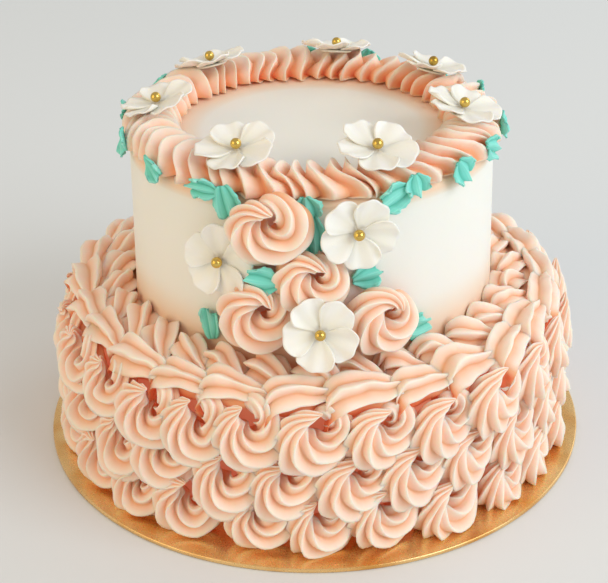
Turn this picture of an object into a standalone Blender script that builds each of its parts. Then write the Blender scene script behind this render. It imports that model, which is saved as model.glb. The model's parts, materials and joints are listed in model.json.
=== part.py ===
"""A two-tier wedding cake on its round gold card board.

The lower tier is covered with piped swirls in three rows and has two rings of
piped shells on its ledge. The upper tier is smooth, with a piped rope border
round its top, five-petal flowers with a bead in the middle, small leaves, and
four swirls that fall down the front. Everything is in metres, Z is up, the
front of the cake faces -Y, and the origin is under the middle of the board.

An azimuth is an angle in degrees round the cake: 0 is the front, 90 is +X.
A reach is a distance from the cake's axis, and a height is above the floor.
"""

import math
import random

import bmesh
import bpy
from mathutils import Matrix, Vector

MM = 0.001
GAP = 0.3 * MM
SEED = 11

# Board
BOARD_RADIUS = 127 * MM
BOARD_THICKNESS = 2 * MM
BOARD_SIDES = 72

# Lower tier
CORE_RADIUS = 103 * MM
CORE_SIDES = 60
LEDGE_HEIGHT = 64 * MM
LOWER_OUTER_RADIUS = 120.5 * MM

# Side swirls of the lower tier, bottom row first: how many, the azimuth of
# one of them and the height of their middles above the board
SWIRL_RADIUS = 15.2 * MM
SWIRL_ROOT = 4 * MM
SWIRL_LOBES = 6
SWIRL_ROWS = (
    {"count": 25, "start": -1.5, "rise": 15.6 * MM},
    {"count": 26, "start": -8.0, "rise": 34.5 * MM},
    {"count": 26, "start": -1.0, "rise": 53.5 * MM},
)

# Form of a swirl: its foot, groove depth and eye as shares of its radius, and
# its layers as size, rise and twist in radians
SWIRL_FOOT = 0.86
SWIRL_GROOVE = 0.80
SWIRL_EYE = (0.18, 0.20)
SIDE_LAYERS = ((1.0, 0.40, 0.0), (0.58, 0.80, 0.55))
CASCADE_LAYERS = ((1.0, 0.36, 0.0), (0.74, 0.70, 0.45), (0.40, 0.92, 1.0))

# Shells on the ledge, outer ring first
SHELL_RINGS = (
    {
        "count": 26,
        "start": -19.0,
        "radius": 103.5 * MM,
        "width": 21 * MM,
        "height": 12.5 * MM,
        "turn": 10,
    },
    {
        "count": 24,
        "start": -12.0,
        "radius": 91 * MM,
        "width": 14 * MM,
        "height": 10.5 * MM,
        "turn": 0,
    },
)
SHELL_OVERLAP = 1.3
SHELL_ROOT = 4 * MM

# Share of the triangles that the fused tier keeps
FUSED_SHARE = 0.56

# Form of a shell: its head, tail and sections as shares of its length, width
# and height, and its ribs as an angle from the top and a reach
SHELL_HEAD = -0.52
SHELL_TAIL = 0.56
SHELL_STATIONS = ((-0.36, 0.86, 0.80), (-0.08, 1.0, 1.0), (0.30, 0.55, 0.62))
SHELL_RIBS = ((-80, 1.0), (-30, 0.95), (30, 0.95), (80, 1.0))

# Upper tier
UPPER_BASE_RADIUS = 82.3 * MM
UPPER_TOP_RADIUS = 80.6 * MM
UPPER_TOP = 147 * MM
UPPER_EDGE = 3 * MM
UPPER_SIDES = 64

# Rope border round the top edge of the upper tier. Its section runs from the
# inner foot over the top to the outer foot: share of the width, share of the
# height, and how much the grooves sink there
ROPE_INNER_RADIUS = 53 * MM
ROPE_OUTER_RADIUS = 85.2 * MM
ROPE_HEIGHT = 12.5 * MM
ROPE_TURNS = 26
ROPE_STEPS = 3
ROPE_SLANT = 0.55
ROPE_GROOVE = 0.30
ROPE_SECTION = (
    (0.02, 0.0, 0.0),
    (0.04, 0.45, 0.6),
    (0.22, 0.90, 1.0),
    (0.50, 1.0, 1.0),
    (0.78, 0.85, 1.0),
    (1.0, 0.42, 0.8),
    (0.95, 0.0, 0.0),
)

# Swirls that fall down the front
CASCADE_SWIRLS = (
    {"azimuth": -11.1, "height": 142.0 * MM, "reach": 85.0 * MM, "radius": 15.0 * MM, "lean": 9},
    {"azimuth": -0.6, "height": 116.0 * MM, "reach": 82.8 * MM, "radius": 14.8 * MM, "lean": 0},
    {"azimuth": -16.8, "height": 99.8 * MM, "reach": 82.8 * MM, "radius": 14.8 * MM, "lean": 0},
    {"azimuth": 17.4, "height": 99.0 * MM, "reach": 82.8 * MM, "radius": 14.2 * MM, "lean": 0},
)
CASCADE_DEPTH = 13.5 * MM
CASCADE_LOBES = 8
CASCADE_TURN = 15

# Flowers: the rim ones lie on the border, tilted outward, and the others face
# out from the wall. A petal's outline is a notch and then its round edge, each
# point an angle in degrees and a share of the radius
PETALS = 5
PETAL_OUTLINE = ((0, 0.72), (16, 0.97), (36, 1.02), (56, 0.97))
FLOWER_CUP = 2.6 * MM
FLOWER_THROAT = 0.30
FLOWER_THROAT_THICKNESS = 1.8 * MM
FLOWER_RIM_THICKNESS = 1.3 * MM
FLOWER_TURN = 29
RIM_FLOWER_AZIMUTHS = (-85, -136, 169, 123, 75, 22.5, -27)
RIM_FLOWER_RADIUS = 17 * MM
RIM_FLOWER_RING = 67 * MM
RIM_FLOWER_TILT = 16
RIM_FLOWER_RISE = 2.2 * MM
RIM_FLOWER_STALK = 2.0 * MM
WALL_FLOWERS = (
    {"azimuth": 10.7, "height": 138.0 * MM, "reach": 91.5 * MM, "radius": 16.0 * MM, "lean": 2},
    {"azimuth": -25.0, "height": 123.5 * MM, "reach": 90.0 * MM, "radius": 16.0 * MM, "lean": -12},
    {"azimuth": 1.1, "height": 97.0 * MM, "reach": 97.5 * MM, "radius": 16.0 * MM, "lean": -14},
)

# Bead in the middle of each flower
BEAD_RADIUS = 2.3 * MM
BEAD_CLEARANCE = 0.4 * MM

# Leaves: azimuth, height, reach, the way that it points (0 is right, 90 is up)
# and its length and width in millimetres
LEAF_THICKNESS = 1.2 * MM
LEAF_WAVE = 0.8 * MM
LEAF_VEIN = 1.0 * MM
LEAF_STATIONS = ((0.16, 0.7), (0.48, 1.0), (0.80, 0.5))
LEAVES = (
    (-50.2, 151.0 * MM, 86.2 * MM, -40, 13, 8),
    (-31.5, 149.5 * MM, 86.2 * MM, 190, 12, 8),
    (-23.4, 147.2 * MM, 86.2 * MM, -85, 12, 10),
    (0.4, 150.4 * MM, 86.2 * MM, -60, 10, 7),
    (24.0, 147.4 * MM, 86.2 * MM, 200, 13, 9),
    (32.5, 151.0 * MM, 86.2 * MM, -15, 11, 8),
    (46.5, 150.5 * MM, 86.2 * MM, -70, 12, 10),
    (63.0, 151.5 * MM, 86.2 * MM, -20, 12, 9),
    (84.0, 150.5 * MM, 86.2 * MM, -120, 12, 9),
    (112.0, 150.5 * MM, 86.2 * MM, -50, 12, 9),
    (133.0, 150.0 * MM, 86.2 * MM, 200, 13, 9),
    (160.0, 150.5 * MM, 86.2 * MM, -80, 12, 10),
    (180.0, 151.0 * MM, 86.2 * MM, -20, 12, 8),
    (-147.0, 150.5 * MM, 86.2 * MM, -140, 12, 9),
    (-124.0, 150.0 * MM, 86.2 * MM, -30, 13, 9),
    (-97.0, 151.0 * MM, 86.2 * MM, 200, 12, 9),
    (-74.0, 150.5 * MM, 86.2 * MM, -60, 12, 9),
    (0.6, 138.3 * MM, 82.0 * MM, -88, 14, 6),
    (-13.2, 121.0 * MM, 93.5 * MM, 168, 13, 9),
    (-31.6, 88.5 * MM, 82.9 * MM, 97, 14, 8),
    (14.8, 118.8 * MM, 82.3 * MM, 20, 11, 9),
    (31.4, 86.5 * MM, 82.9 * MM, 118, 13, 9),
)

# Colours as seen by eye, red, green and blue from 0 to 255
PEACH_ICING = (246, 205, 180)
PEACH_DEEP = (242, 196, 168)
CREAM_ICING = (243, 239, 226)
PETAL_WHITE = (246, 244, 236)
LEAF_GREEN = (88, 200, 172)
BEAD_GOLD = (205, 165, 80)
BOARD_GOLD = (214, 160, 80)


def linear(colour):
    """The colour in Blender's linear light, from values of 0 to 255."""
    return tuple((value / 255) ** 2.2 for value in colour) + (1.0,)


def make_material(name, colour, roughness, metallic=0.0):
    """A plain Principled finish."""
    finish = bpy.data.materials.new(name)
    finish.use_nodes = True
    shader = finish.node_tree.nodes["Principled BSDF"]
    shader.inputs["Base Color"].default_value = linear(colour)
    shader.inputs["Roughness"].default_value = roughness
    shader.inputs["Metallic"].default_value = metallic
    finish.diffuse_color = linear(colour)
    return finish


def wall_frame(azimuth, reach, height, lean=0.0, turn=0.0):
    """A frame whose X points right along the wall, Y up and Z outward.

    A positive lean tips the top outward, -90 lays the frame flat with Z up,
    and turn spins it about its own Z.
    """
    angle = math.radians(azimuth)
    right = Vector((math.cos(angle), math.sin(angle), 0))
    outward = Vector((math.sin(angle), -math.cos(angle), 0))
    up = Vector((0, 0, 1))
    frame = Matrix((right, up, outward)).transposed().to_4x4()
    frame.translation = outward * reach + up * height
    tip = Matrix.Rotation(math.radians(lean), 4, "X")
    spin = Matrix.Rotation(math.radians(turn), 4, "Z")
    return frame @ tip @ spin


def loft(name, rings, frame, start=None, end=None, other_way=None):
    """A closed mesh through rings of points, anticlockwise seen from the end.

    An end is closed by a fan to the point given, or else by one flat face.
    other_way(level, column) says which quads are split along their other
    diagonal, so that both faces of a thin piece can be split alike.
    """
    mesh = bmesh.new()
    loops = [[mesh.verts.new(frame @ Vector(point)) for point in ring] for ring in rings]
    count = len(loops[0])
    for level, (lower, upper) in enumerate(zip(loops, loops[1:])):
        for i in range(count):
            j = (i + 1) % count
            if other_way is not None and other_way(level, i):
                mesh.faces.new((lower[i], lower[j], upper[i]))
                mesh.faces.new((lower[j], upper[j], upper[i]))
            else:
                mesh.faces.new((lower[i], lower[j], upper[j]))
                mesh.faces.new((lower[i], upper[j], upper[i]))
    caps = []
    if start is None:
        caps.append(mesh.faces.new(reversed(loops[0])))
    else:
        point = mesh.verts.new(frame @ Vector(start))
        for i in range(count):
            mesh.faces.new((point, loops[0][(i + 1) % count], loops[0][i]))
    if end is None:
        caps.append(mesh.faces.new(loops[-1]))
    else:
        point = mesh.verts.new(frame @ Vector(end))
        for i in range(count):
            mesh.faces.new((point, loops[-1][i], loops[-1][(i + 1) % count]))
    bmesh.ops.triangulate(mesh, faces=caps)
    return new_object(name, mesh)


def new_object(name, mesh):
    """An object from a bmesh, which is freed."""
    data = bpy.data.meshes.new(name)
    mesh.to_mesh(data)
    mesh.free()
    return bpy.data.objects.new(name, data)


def dress(item, material, collection, smooth_angle=50):
    """Give an object its material and put it in its collection."""
    item.data.materials.clear()
    item.data.materials.append(material)
    item.data.shade_smooth()
    item.data.set_sharp_from_angle(angle=math.radians(smooth_angle))
    collection.objects.link(item)


def lobed_ring(radius, groove, lobes, height, twist, middle=(0.0, 0.0)):
    """A ring with ribs: every second point lies back in a groove."""
    points = []
    for i in range(2 * lobes):
        angle = math.pi * i / lobes + twist
        reach = radius * (groove if i % 2 else 1.0)
        x = middle[0] + reach * math.cos(angle)
        y = middle[1] + reach * math.sin(angle)
        points.append((x, y, height))
    return points


def make_swirl(name, frame, radius, depth, root, lobes, layers):
    """A piped star swirl: a ribbed dome whose ribs twist round to its eye.

    depth is how far the eye stands in front of the frame, and root how far
    the back goes behind it. Each layer is a size, a rise and a twist.
    """
    eye = (SWIRL_EYE[0] * radius, SWIRL_EYE[1] * radius)
    rings = [lobed_ring(SWIRL_FOOT * radius, 0.92, lobes, -root, 0.0)]
    for size, rise, twist in layers:
        middle = (eye[0] * rise, eye[1] * rise)
        rings.append(lobed_ring(size * radius, SWIRL_GROOVE, lobes, rise * depth, twist, middle))
    return loft(name, rings, frame, end=(eye[0], eye[1], depth))


def make_shell(name, frame, length, width, height, root):
    """A piped shell: a wide ribbed head that tapers along +X to a tail."""
    rings = []
    for along, wide, high in SHELL_STATIONS:
        ring = []
        for rib, reach in SHELL_RIBS:
            angle = math.radians(rib)
            y = 0.5 * width * wide * reach * math.sin(angle)
            z = height * high * reach * math.cos(angle)
            ring.append((along * length, -y, z))
        foot = 0.4 * width * wide
        ring.append((along * length, -foot, -root))
        ring.append((along * length, foot, -root))
        rings.append(ring)
    head = (SHELL_HEAD * length, 0.0, 0.35 * height)
    tail = (SHELL_TAIL * length, 0.0, 0.3 * height)
    return loft(name, rings, frame, start=head, end=tail)


def make_board(collection, material):
    """The flat round card board."""
    mesh = bmesh.new()
    bmesh.ops.create_cone(
        mesh,
        cap_ends=True,
        cap_tris=False,
        segments=BOARD_SIDES,
        radius1=BOARD_RADIUS,
        radius2=BOARD_RADIUS,
        depth=BOARD_THICKNESS,
        matrix=Matrix.Translation((0, 0, BOARD_THICKNESS / 2)),
    )
    dress(new_object("board", mesh), material, collection)


def make_upper_tier(collection, material):
    """The smooth upper tier: a turned profile, a little wider at its foot."""
    base = BOARD_THICKNESS + LEDGE_HEIGHT + GAP
    bevel = UPPER_EDGE * (1 - math.sin(math.radians(45)))
    profile = (
        (0, UPPER_TOP),
        (UPPER_TOP_RADIUS - UPPER_EDGE, UPPER_TOP),
        (UPPER_TOP_RADIUS - bevel, UPPER_TOP - bevel),
        (UPPER_TOP_RADIUS, UPPER_TOP - UPPER_EDGE),
        (UPPER_BASE_RADIUS, base),
        (0, base),
    )
    data = bpy.data.meshes.new("upper_tier")
    points = [(radius, 0, height) for radius, height in profile]
    edges = [(i, i + 1) for i in range(len(profile) - 1)]
    data.from_pydata(points, edges, [])
    tier = bpy.data.objects.new("upper_tier", data)
    screw = tier.modifiers.new("Turn", "SCREW")
    screw.axis = "Z"
    screw.angle = math.tau
    screw.steps = UPPER_SIDES
    screw.render_steps = UPPER_SIDES
    screw.use_merge_vertices = True
    screw.merge_threshold = 0.01 * MM
    screw.use_smooth_shade = True
    data.materials.append(material)
    collection.objects.link(tier)


def make_core():
    """The iced round cake of the lower tier, under the piping."""
    mesh = bmesh.new()
    base = BOARD_THICKNESS + GAP
    top = BOARD_THICKNESS + LEDGE_HEIGHT
    bmesh.ops.create_cone(
        mesh,
        cap_ends=True,
        cap_tris=False,
        segments=CORE_SIDES,
        radius1=CORE_RADIUS,
        radius2=CORE_RADIUS,
        depth=top - base,
        matrix=Matrix.Translation((0, 0, (base + top) / 2)),
    )
    return new_object("lower_tier", mesh)


def side_swirls(draw):
    """The three rows of swirls round the lower tier, bottom row first."""
    swirls = []
    depth = LOWER_OUTER_RADIUS - CORE_RADIUS
    for row, plan in enumerate(SWIRL_ROWS):
        step = 360 / plan["count"]
        for i in range(plan["count"]):
            azimuth = plan["start"] + i * step + draw.uniform(-1, 1)
            height = BOARD_THICKNESS + plan["rise"] + draw.uniform(0, 1) * MM
            radius = SWIRL_RADIUS * draw.uniform(0.92, 1.0)
            turn = draw.uniform(-20, 20)
            frame = wall_frame(azimuth, CORE_RADIUS, height, turn=turn)
            name = f"swirl_{row}_{i}"
            reach = depth * draw.uniform(0.9, 1.0)
            swirls.append(
                make_swirl(name, frame, radius, reach, SWIRL_ROOT, SWIRL_LOBES, SIDE_LAYERS)
            )
    return swirls


def ledge_shells(draw):
    """The two rings of shells on the ledge, piped anticlockwise."""
    shells = []
    ledge = BOARD_THICKNESS + LEDGE_HEIGHT
    for ring, plan in enumerate(SHELL_RINGS):
        pitch = math.tau * plan["radius"] / plan["count"]
        for i in range(plan["count"]):
            azimuth = plan["start"] + i * 360 / plan["count"] + draw.uniform(-1, 1)
            turn = plan["turn"] + draw.uniform(-5, 5)
            frame = wall_frame(azimuth, plan["radius"], ledge, lean=-90, turn=turn)
            height = plan["height"] * draw.uniform(0.88, 1.0)
            name = f"shell_{ring}_{i}"
            length = pitch * SHELL_OVERLAP
            shells.append(make_shell(name, frame, length, plan["width"], height, SHELL_ROOT))
    return shells


def keep_outer_body(item):
    """Drop the scraps and the sealed hollows that fusing leaves."""
    mesh = bmesh.new()
    mesh.from_mesh(item.data)
    left = set(mesh.verts)
    bodies = []
    while left:
        body = {left.pop()}
        edge_of_body = list(body)
        while edge_of_body:
            corner = edge_of_body.pop()
            for edge in corner.link_edges:
                other = edge.other_vert(corner)
                if other in left:
                    left.remove(other)
                    body.add(other)
                    edge_of_body.append(other)
        bodies.append(body)
    bodies.sort(key=len)
    for body in bodies[:-1]:
        bmesh.ops.delete(mesh, geom=list(body), context="VERTS")
    bmesh.ops.triangulate(mesh, faces=mesh.faces)
    mesh.to_mesh(item.data)
    mesh.free()


def fuse(item, pieces):
    """Join pieces to an object by one Boolean union, then remove them.

    The slivers along the joins are thinned out afterwards.
    """
    tools = bpy.data.collections.new("icing_pieces")
    bpy.context.scene.collection.children.link(tools)
    for piece in pieces:
        piece.hide_render = True
        piece.display_type = "WIRE"
        tools.objects.link(piece)
    union = item.modifiers.new("Union", "BOOLEAN")
    union.operation = "UNION"
    union.operand_type = "COLLECTION"
    union.collection = tools
    union.solver = "MANIFOLD"
    thin = item.modifiers.new("Thin out", "DECIMATE")
    thin.ratio = FUSED_SHARE
    graph = bpy.context.evaluated_depsgraph_get()
    fused = bpy.data.meshes.new_from_object(item.evaluated_get(graph))
    item.modifiers.clear()
    old = item.data
    item.data = fused
    bpy.data.meshes.remove(old)
    fused.name = item.name
    for piece in list(tools.objects):
        data = piece.data
        bpy.data.objects.remove(piece)
        bpy.data.meshes.remove(data)
    bpy.data.collections.remove(tools)
    keep_outer_body(item)


def make_lower_tier(collection, material):
    """The lower tier with its piping, fused into one solid."""
    draw = random.Random(SEED)
    tier = make_core()
    dress(tier, material, collection)
    fuse(tier, side_swirls(draw) + ledge_shells(draw))
    tier.data.shade_smooth()
    tier.data.set_sharp_from_angle(angle=math.radians(40))


def make_rim_border(collection, material):
    """The rope border: a ring whose section swells and sinks along a slant."""
    mesh = bmesh.new()
    stations = ROPE_TURNS * ROPE_STEPS
    width = ROPE_OUTER_RADIUS - ROPE_INNER_RADIUS
    rings = []
    for station in range(stations):
        azimuth = 360 * station / stations
        frame = wall_frame(azimuth, 0, UPPER_TOP + GAP)
        ring = []
        for across, high, ribbed in ROPE_SECTION:
            phase = math.tau * (station / ROPE_STEPS - ROPE_SLANT * across)
            sunk = ROPE_GROOVE * ribbed * (0.5 - 0.5 * math.cos(phase))
            pulled = (0.5 - across) * sunk * 0.5
            radius = ROPE_INNER_RADIUS + width * (across + pulled)
            ring.append(mesh.verts.new(frame @ Vector((0, ROPE_HEIGHT * high * (1 - sunk), radius))))
        rings.append(ring)
    count = len(ROPE_SECTION)
    for k, ring in enumerate(rings):
        after = rings[(k + 1) % stations]
        for i in range(count):
            j = (i + 1) % count
            mesh.faces.new((ring[i], ring[j], after[j], after[i]))
    bmesh.ops.recalc_face_normals(mesh, faces=mesh.faces)
    bmesh.ops.triangulate(mesh, faces=mesh.faces)
    dress(new_object("rim_border", mesh), material, collection)


def make_cascade_swirls(collection, material):
    """The four separate swirls that fall down the front of the upper tier."""
    for i, plan in enumerate(CASCADE_SWIRLS):
        frame = wall_frame(
            plan["azimuth"], plan["reach"], plan["height"], plan["lean"], CASCADE_TURN * i
        )
        name = f"cascade_swirl_{i + 1}"
        swirl = make_swirl(
            name, frame, plan["radius"], CASCADE_DEPTH, 0.0, CASCADE_LOBES, CASCADE_LAYERS
        )
        dress(swirl, material, collection)


def petal_ring(radius, heights):
    """The outline of five petals: a notch and a round edge for each."""
    points = []
    for i in range(PETALS):
        for (angle, reach), height in zip(PETAL_OUTLINE, heights):
            spot = math.tau * i / PETALS + math.radians(angle)
            x = radius * reach * math.cos(spot)
            y = radius * reach * math.sin(spot)
            points.append((x, y, height))
    return points


def make_flower(name, frame, radius, stalk):
    """A five-petal flower, cupped towards +Z, its back drawn out to a stalk."""
    rim = (0.45 * FLOWER_CUP, FLOWER_CUP, FLOWER_CUP, FLOWER_CUP)
    back_rim = [height - FLOWER_RIM_THICKNESS for height in rim]
    throat = FLOWER_THROAT * radius
    count = PETALS * len(PETAL_OUTLINE)
    front = []
    back = []
    for i in range(count):
        angle = math.tau * i / count
        x = throat * math.cos(angle)
        y = throat * math.sin(angle)
        front.append((x, y, 0.2 * FLOWER_CUP))
        back.append((x, y, 0.2 * FLOWER_CUP - FLOWER_THROAT_THICKNESS))
    rings = [back, petal_ring(radius, back_rim), petal_ring(radius, rim), front]
    return loft(
        name,
        rings,
        frame,
        start=(0, 0, -stalk),
        end=(0, 0, 0),
        other_way=lambda level, column: level == 2,
    )


def make_bead(name, frame):
    """The round bead in a flower, just clear of its petals."""
    mesh = bmesh.new()
    place = frame @ Matrix.Translation((0, 0, BEAD_RADIUS + BEAD_CLEARANCE))
    bmesh.ops.create_uvsphere(
        mesh, u_segments=8, v_segments=5, radius=BEAD_RADIUS, matrix=place
    )
    bmesh.ops.triangulate(mesh, faces=mesh.faces)
    return new_object(name, mesh)


def make_flowers(collection, petal_material, bead_material):
    """Seven flowers round the rim and three on the wall, each with a bead."""
    plans = []
    for i, azimuth in enumerate(RIM_FLOWER_AZIMUTHS):
        height = UPPER_TOP + GAP + ROPE_HEIGHT + RIM_FLOWER_RISE
        frame = wall_frame(
            azimuth, RIM_FLOWER_RING, height, RIM_FLOWER_TILT - 90, FLOWER_TURN * i
        )
        plans.append((frame, RIM_FLOWER_RADIUS, RIM_FLOWER_STALK))
    for i, plan in enumerate(WALL_FLOWERS):
        frame = wall_frame(
            plan["azimuth"], plan["reach"], plan["height"], plan["lean"], FLOWER_TURN * (i + 1)
        )
        plans.append((frame, plan["radius"], plan["reach"] - UPPER_BASE_RADIUS - GAP))
    for i, (frame, radius, stalk) in enumerate(plans):
        dress(make_flower(f"flower_{i + 1}", frame, radius, stalk), petal_material, collection)
        dress(make_bead(f"bead_{i + 1}", frame), bead_material, collection)


def make_leaf(name, frame, length, width):
    """A thin pointed leaf along X, folded at its vein and waved at its edges."""
    half = LEAF_THICKNESS / 2
    rings = []
    for i, (along, wide) in enumerate(LEAF_STATIONS):
        wave = LEAF_WAVE * (-1) ** i
        x = (along - 0.5) * length
        y = 0.5 * wide * width
        edge = LEAF_VEIN + wave
        other = LEAF_VEIN - wave
        rings.append(
            (
                (x, y, edge - half),
                (x, y, edge + half),
                (x, 0, half),
                (x, -y, other + half),
                (x, -y, other - half),
                (x, 0, -half),
            )
        )
    start = (-0.5 * length, 0, 0)
    end = (0.5 * length, 0, 0)
    return loft(
        name, rings, frame, start=start, end=end, other_way=lambda level, column: column > 3
    )


def make_leaves(collection, material):
    """The leaves under the rim and among the front decorations."""
    for i, (azimuth, height, reach, points, length, width) in enumerate(LEAVES):
        frame = wall_frame(azimuth, reach, height, turn=points)
        leaf = make_leaf(f"leaf_{i + 1:02d}", frame, length * MM, width * MM)
        dress(leaf, material, collection)


def main():
    """Clear the scene and make every piece of the cake."""
    for item in list(bpy.data.objects):
        bpy.data.objects.remove(item)
    cake = bpy.data.collections.new("tiered_wedding_cake")
    bpy.context.scene.collection.children.link(cake)
    peach = make_material("peach_buttercream", PEACH_ICING, 0.55)
    deep_peach = make_material("deep_peach_buttercream", PEACH_DEEP, 0.55)
    cream = make_material("cream_icing", CREAM_ICING, 0.5)
    petal = make_material("white_petal_icing", PETAL_WHITE, 0.6)
    green = make_material("leaf_icing", LEAF_GREEN, 0.5)
    gold_bead = make_material("gold_bead", BEAD_GOLD, 0.25, metallic=1.0)
    gold_card = make_material("gold_card", BOARD_GOLD, 0.35, metallic=0.8)
    make_board(cake, gold_card)
    make_lower_tier(cake, peach)
    make_upper_tier(cake, cream)
    make_rim_border(cake, deep_peach)
    make_cascade_swirls(cake, peach)
    make_flowers(cake, petal, gold_bead)
    make_leaves(cake, green)


main()
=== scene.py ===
"""The looks of a two-tier wedding cake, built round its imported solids.

The lower tier has a deep coral base coat under three rows of piped swirls and
two rings of shells. The upper tier is smooth cream, with a rope border, white
flowers with gold beads, small green leaves and four swirls down the front.

Everything is in metres, Z is up and the front faces -Y. An azimuth is an angle
in degrees round the cake: 0 is the front, 90 is +X. A reach is a distance from
the cake's axis, and a height is above the floor.
"""

import json
import logging
import math
import random
from collections.abc import Callable, Sequence
from dataclasses import dataclass, field
from enum import Enum

import bpy
import numpy as np
from bpy.types import Material, Mesh, Node, NodeSocket, NodeTree, Object
from mathutils import Matrix, Vector, noise

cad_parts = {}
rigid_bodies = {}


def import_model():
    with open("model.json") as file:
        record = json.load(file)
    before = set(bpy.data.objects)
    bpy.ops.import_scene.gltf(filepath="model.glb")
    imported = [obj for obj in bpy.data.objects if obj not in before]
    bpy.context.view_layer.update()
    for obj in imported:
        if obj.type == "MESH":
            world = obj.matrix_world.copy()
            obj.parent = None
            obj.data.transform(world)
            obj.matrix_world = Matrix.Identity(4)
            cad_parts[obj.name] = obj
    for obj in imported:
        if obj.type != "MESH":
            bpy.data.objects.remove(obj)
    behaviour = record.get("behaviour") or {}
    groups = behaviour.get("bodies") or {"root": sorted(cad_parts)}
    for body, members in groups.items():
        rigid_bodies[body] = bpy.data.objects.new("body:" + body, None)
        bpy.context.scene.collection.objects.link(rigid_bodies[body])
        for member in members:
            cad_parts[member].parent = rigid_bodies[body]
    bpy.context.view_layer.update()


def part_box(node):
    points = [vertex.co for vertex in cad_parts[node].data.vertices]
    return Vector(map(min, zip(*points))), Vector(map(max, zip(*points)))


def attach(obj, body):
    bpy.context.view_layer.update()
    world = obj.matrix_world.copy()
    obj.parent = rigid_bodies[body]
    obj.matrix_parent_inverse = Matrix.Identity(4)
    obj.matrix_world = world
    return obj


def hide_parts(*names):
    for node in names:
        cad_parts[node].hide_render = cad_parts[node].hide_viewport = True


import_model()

log = logging.getLogger("cake")

MM = 0.001
SEED = 11
BODY = "root"

# How hollow icing counts where it lies deep in the piping, where it gets the gaps' painted deep shade
# and painted glow.
PAINTED_GAP_HOLLOW = 1.5
# Keeps a division from failing where points meet.
TINY = 1e-12
# How far apart the seeds of one tree's draws are.
SEED_STEP = 17
# Keeps a drawn share from picking a dab past the last.
JUST_UNDER_ONE = 0.999
# How much paler than its neighbours a dab may be.
PALEST_DAB = 0.5
# The radius of the innermost ring of points on a broad turned face.
HUB = 0.02

PEACH_SLOT = "peach_buttercream"
Colour = tuple[float, float, float]
Place = tuple[float, float, float]


def linear(colour: Colour) -> tuple[float, float, float, float]:
    """Turn a colour as seen by eye into linear light, by the usual curve of screens.

    Args:
        colour: Red, green and blue from 0 to 255.

    Returns:
        Linear red, green and blue with an alpha of 1.
    """
    values = []
    for part in colour:
        share = part / 255
        values.append(share / 12.92 if share <= 0.04045 else ((share + 0.055) / 1.055) ** 2.4)
    return (values[0], values[1], values[2], 1.0)


def wall_frame(azimuth: float, reach: float, height: float, lean: float = 0, turn: float = 0) -> Matrix:
    """Make a frame whose X points right along the wall, Y up and Z outward.

    Args:
        azimuth: Where round the cake, in degrees.
        reach: How far from the axis.
        height: How far above the floor.
        lean: Degrees that the top tips outward; -90 lays the frame flat, Z up.
        turn: Degrees that the frame spins about its own Z.

    Returns:
        The frame as a matrix.
    """
    angle = math.radians(azimuth)
    right = Vector((math.cos(angle), math.sin(angle), 0))
    outward = Vector((math.sin(angle), -math.cos(angle), 0))
    up = Vector((0, 0, 1))
    place = Matrix((right, up, outward)).transposed().to_4x4()
    place.translation = outward * reach + up * height
    tip = Matrix.Rotation(math.radians(lean), 4, "X")
    spin = Matrix.Rotation(math.radians(turn), 4, "Z")
    return place @ tip @ spin


def through(keys: Sequence[Sequence[float]], count: int) -> np.ndarray:
    """Draw a smooth line of values through a few key values.

    Args:
        keys: The rows of values to pass through.
        count: How many rows to return.

    Returns:
        Rows along a Catmull-Rom line through the keys.
    """
    table = np.array(keys, float)
    padded = np.vstack([2 * table[0] - table[1], table, 2 * table[-1] - table[-2]])
    steps = np.linspace(0, len(table) - 1, count)
    first = np.minimum(steps.astype(int), len(table) - 2)
    t = (steps - first)[:, None]
    a, b, c, d = (padded[first + i] for i in range(4))
    bend = (2 * a - 5 * b + 4 * c - d) * t**2
    swing = (3 * b - a - 3 * c + d) * t**3
    return 0.5 * (2 * b + (c - a) * t + bend + swing)


def mesh_of(
    name: str, points: np.ndarray, faces: list[tuple[int, ...]], hollow: np.ndarray | None = None
) -> Mesh:
    """Make a smooth-shaded mesh whose faces point out.

    Args:
        name: The mesh's name.
        points: One row for each vertex.
        faces: Vertex numbers for each face, all turning the same way.
        hollow: For each vertex, 0 on a crest and 1 at the bottom of a groove.

    Returns:
        The mesh.
    """
    corners = [(face[0], face[i], face[i + 1]) for face in faces for i in range(1, len(face) - 1)]
    a, b, c = (points[list(column)] for column in zip(*corners))
    if np.einsum("ij,ij->i", a, np.cross(b, c)).sum() < 0:
        faces = [face[::-1] for face in faces]
    mesh = bpy.data.meshes.new(name)
    mesh.from_pydata(points.tolist(), [], faces)
    mesh.shade_smooth()
    if hollow is not None:
        attribute = mesh.attributes.new("hollow", "FLOAT", "POINT")
        attribute.data.foreach_set("value", hollow.astype(np.float32))
    return mesh


def closed_tube(name: str, rings: np.ndarray, hollow: np.ndarray, joined: bool = False) -> Mesh:
    """Skin a run of rings, and close both ends or join the last ring to the first.

    Args:
        name: The mesh's name.
        rings: Points as ring, point, coordinate.
        hollow: The depth share in a groove, as ring, point.
        joined: True where the run comes back to its start.

    Returns:
        The closed mesh.
    """
    count, around = rings.shape[:2]
    faces: list[tuple[int, ...]] = []
    for i in range(count if joined else count - 1):
        here = i * around
        after = (i + 1) % count * around
        for j in range(around):
            k = (j + 1) % around
            faces.append((here + j, here + k, after + k, after + j))
    if joined:
        return mesh_of(name, rings.reshape(-1, 3), faces, hollow.ravel())
    points = np.vstack([rings.reshape(-1, 3), rings[0].mean(0), rings[-1].mean(0)])
    start = count * around
    last = (count - 1) * around
    for j in range(around):
        k = (j + 1) % around
        faces.append((start, k, j))
        faces.append((start + 1, last + j, last + k))
    ends = [hollow[0].mean(), hollow[-1].mean()]
    return mesh_of(name, points, faces, np.concatenate([hollow.ravel(), ends]))


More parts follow.
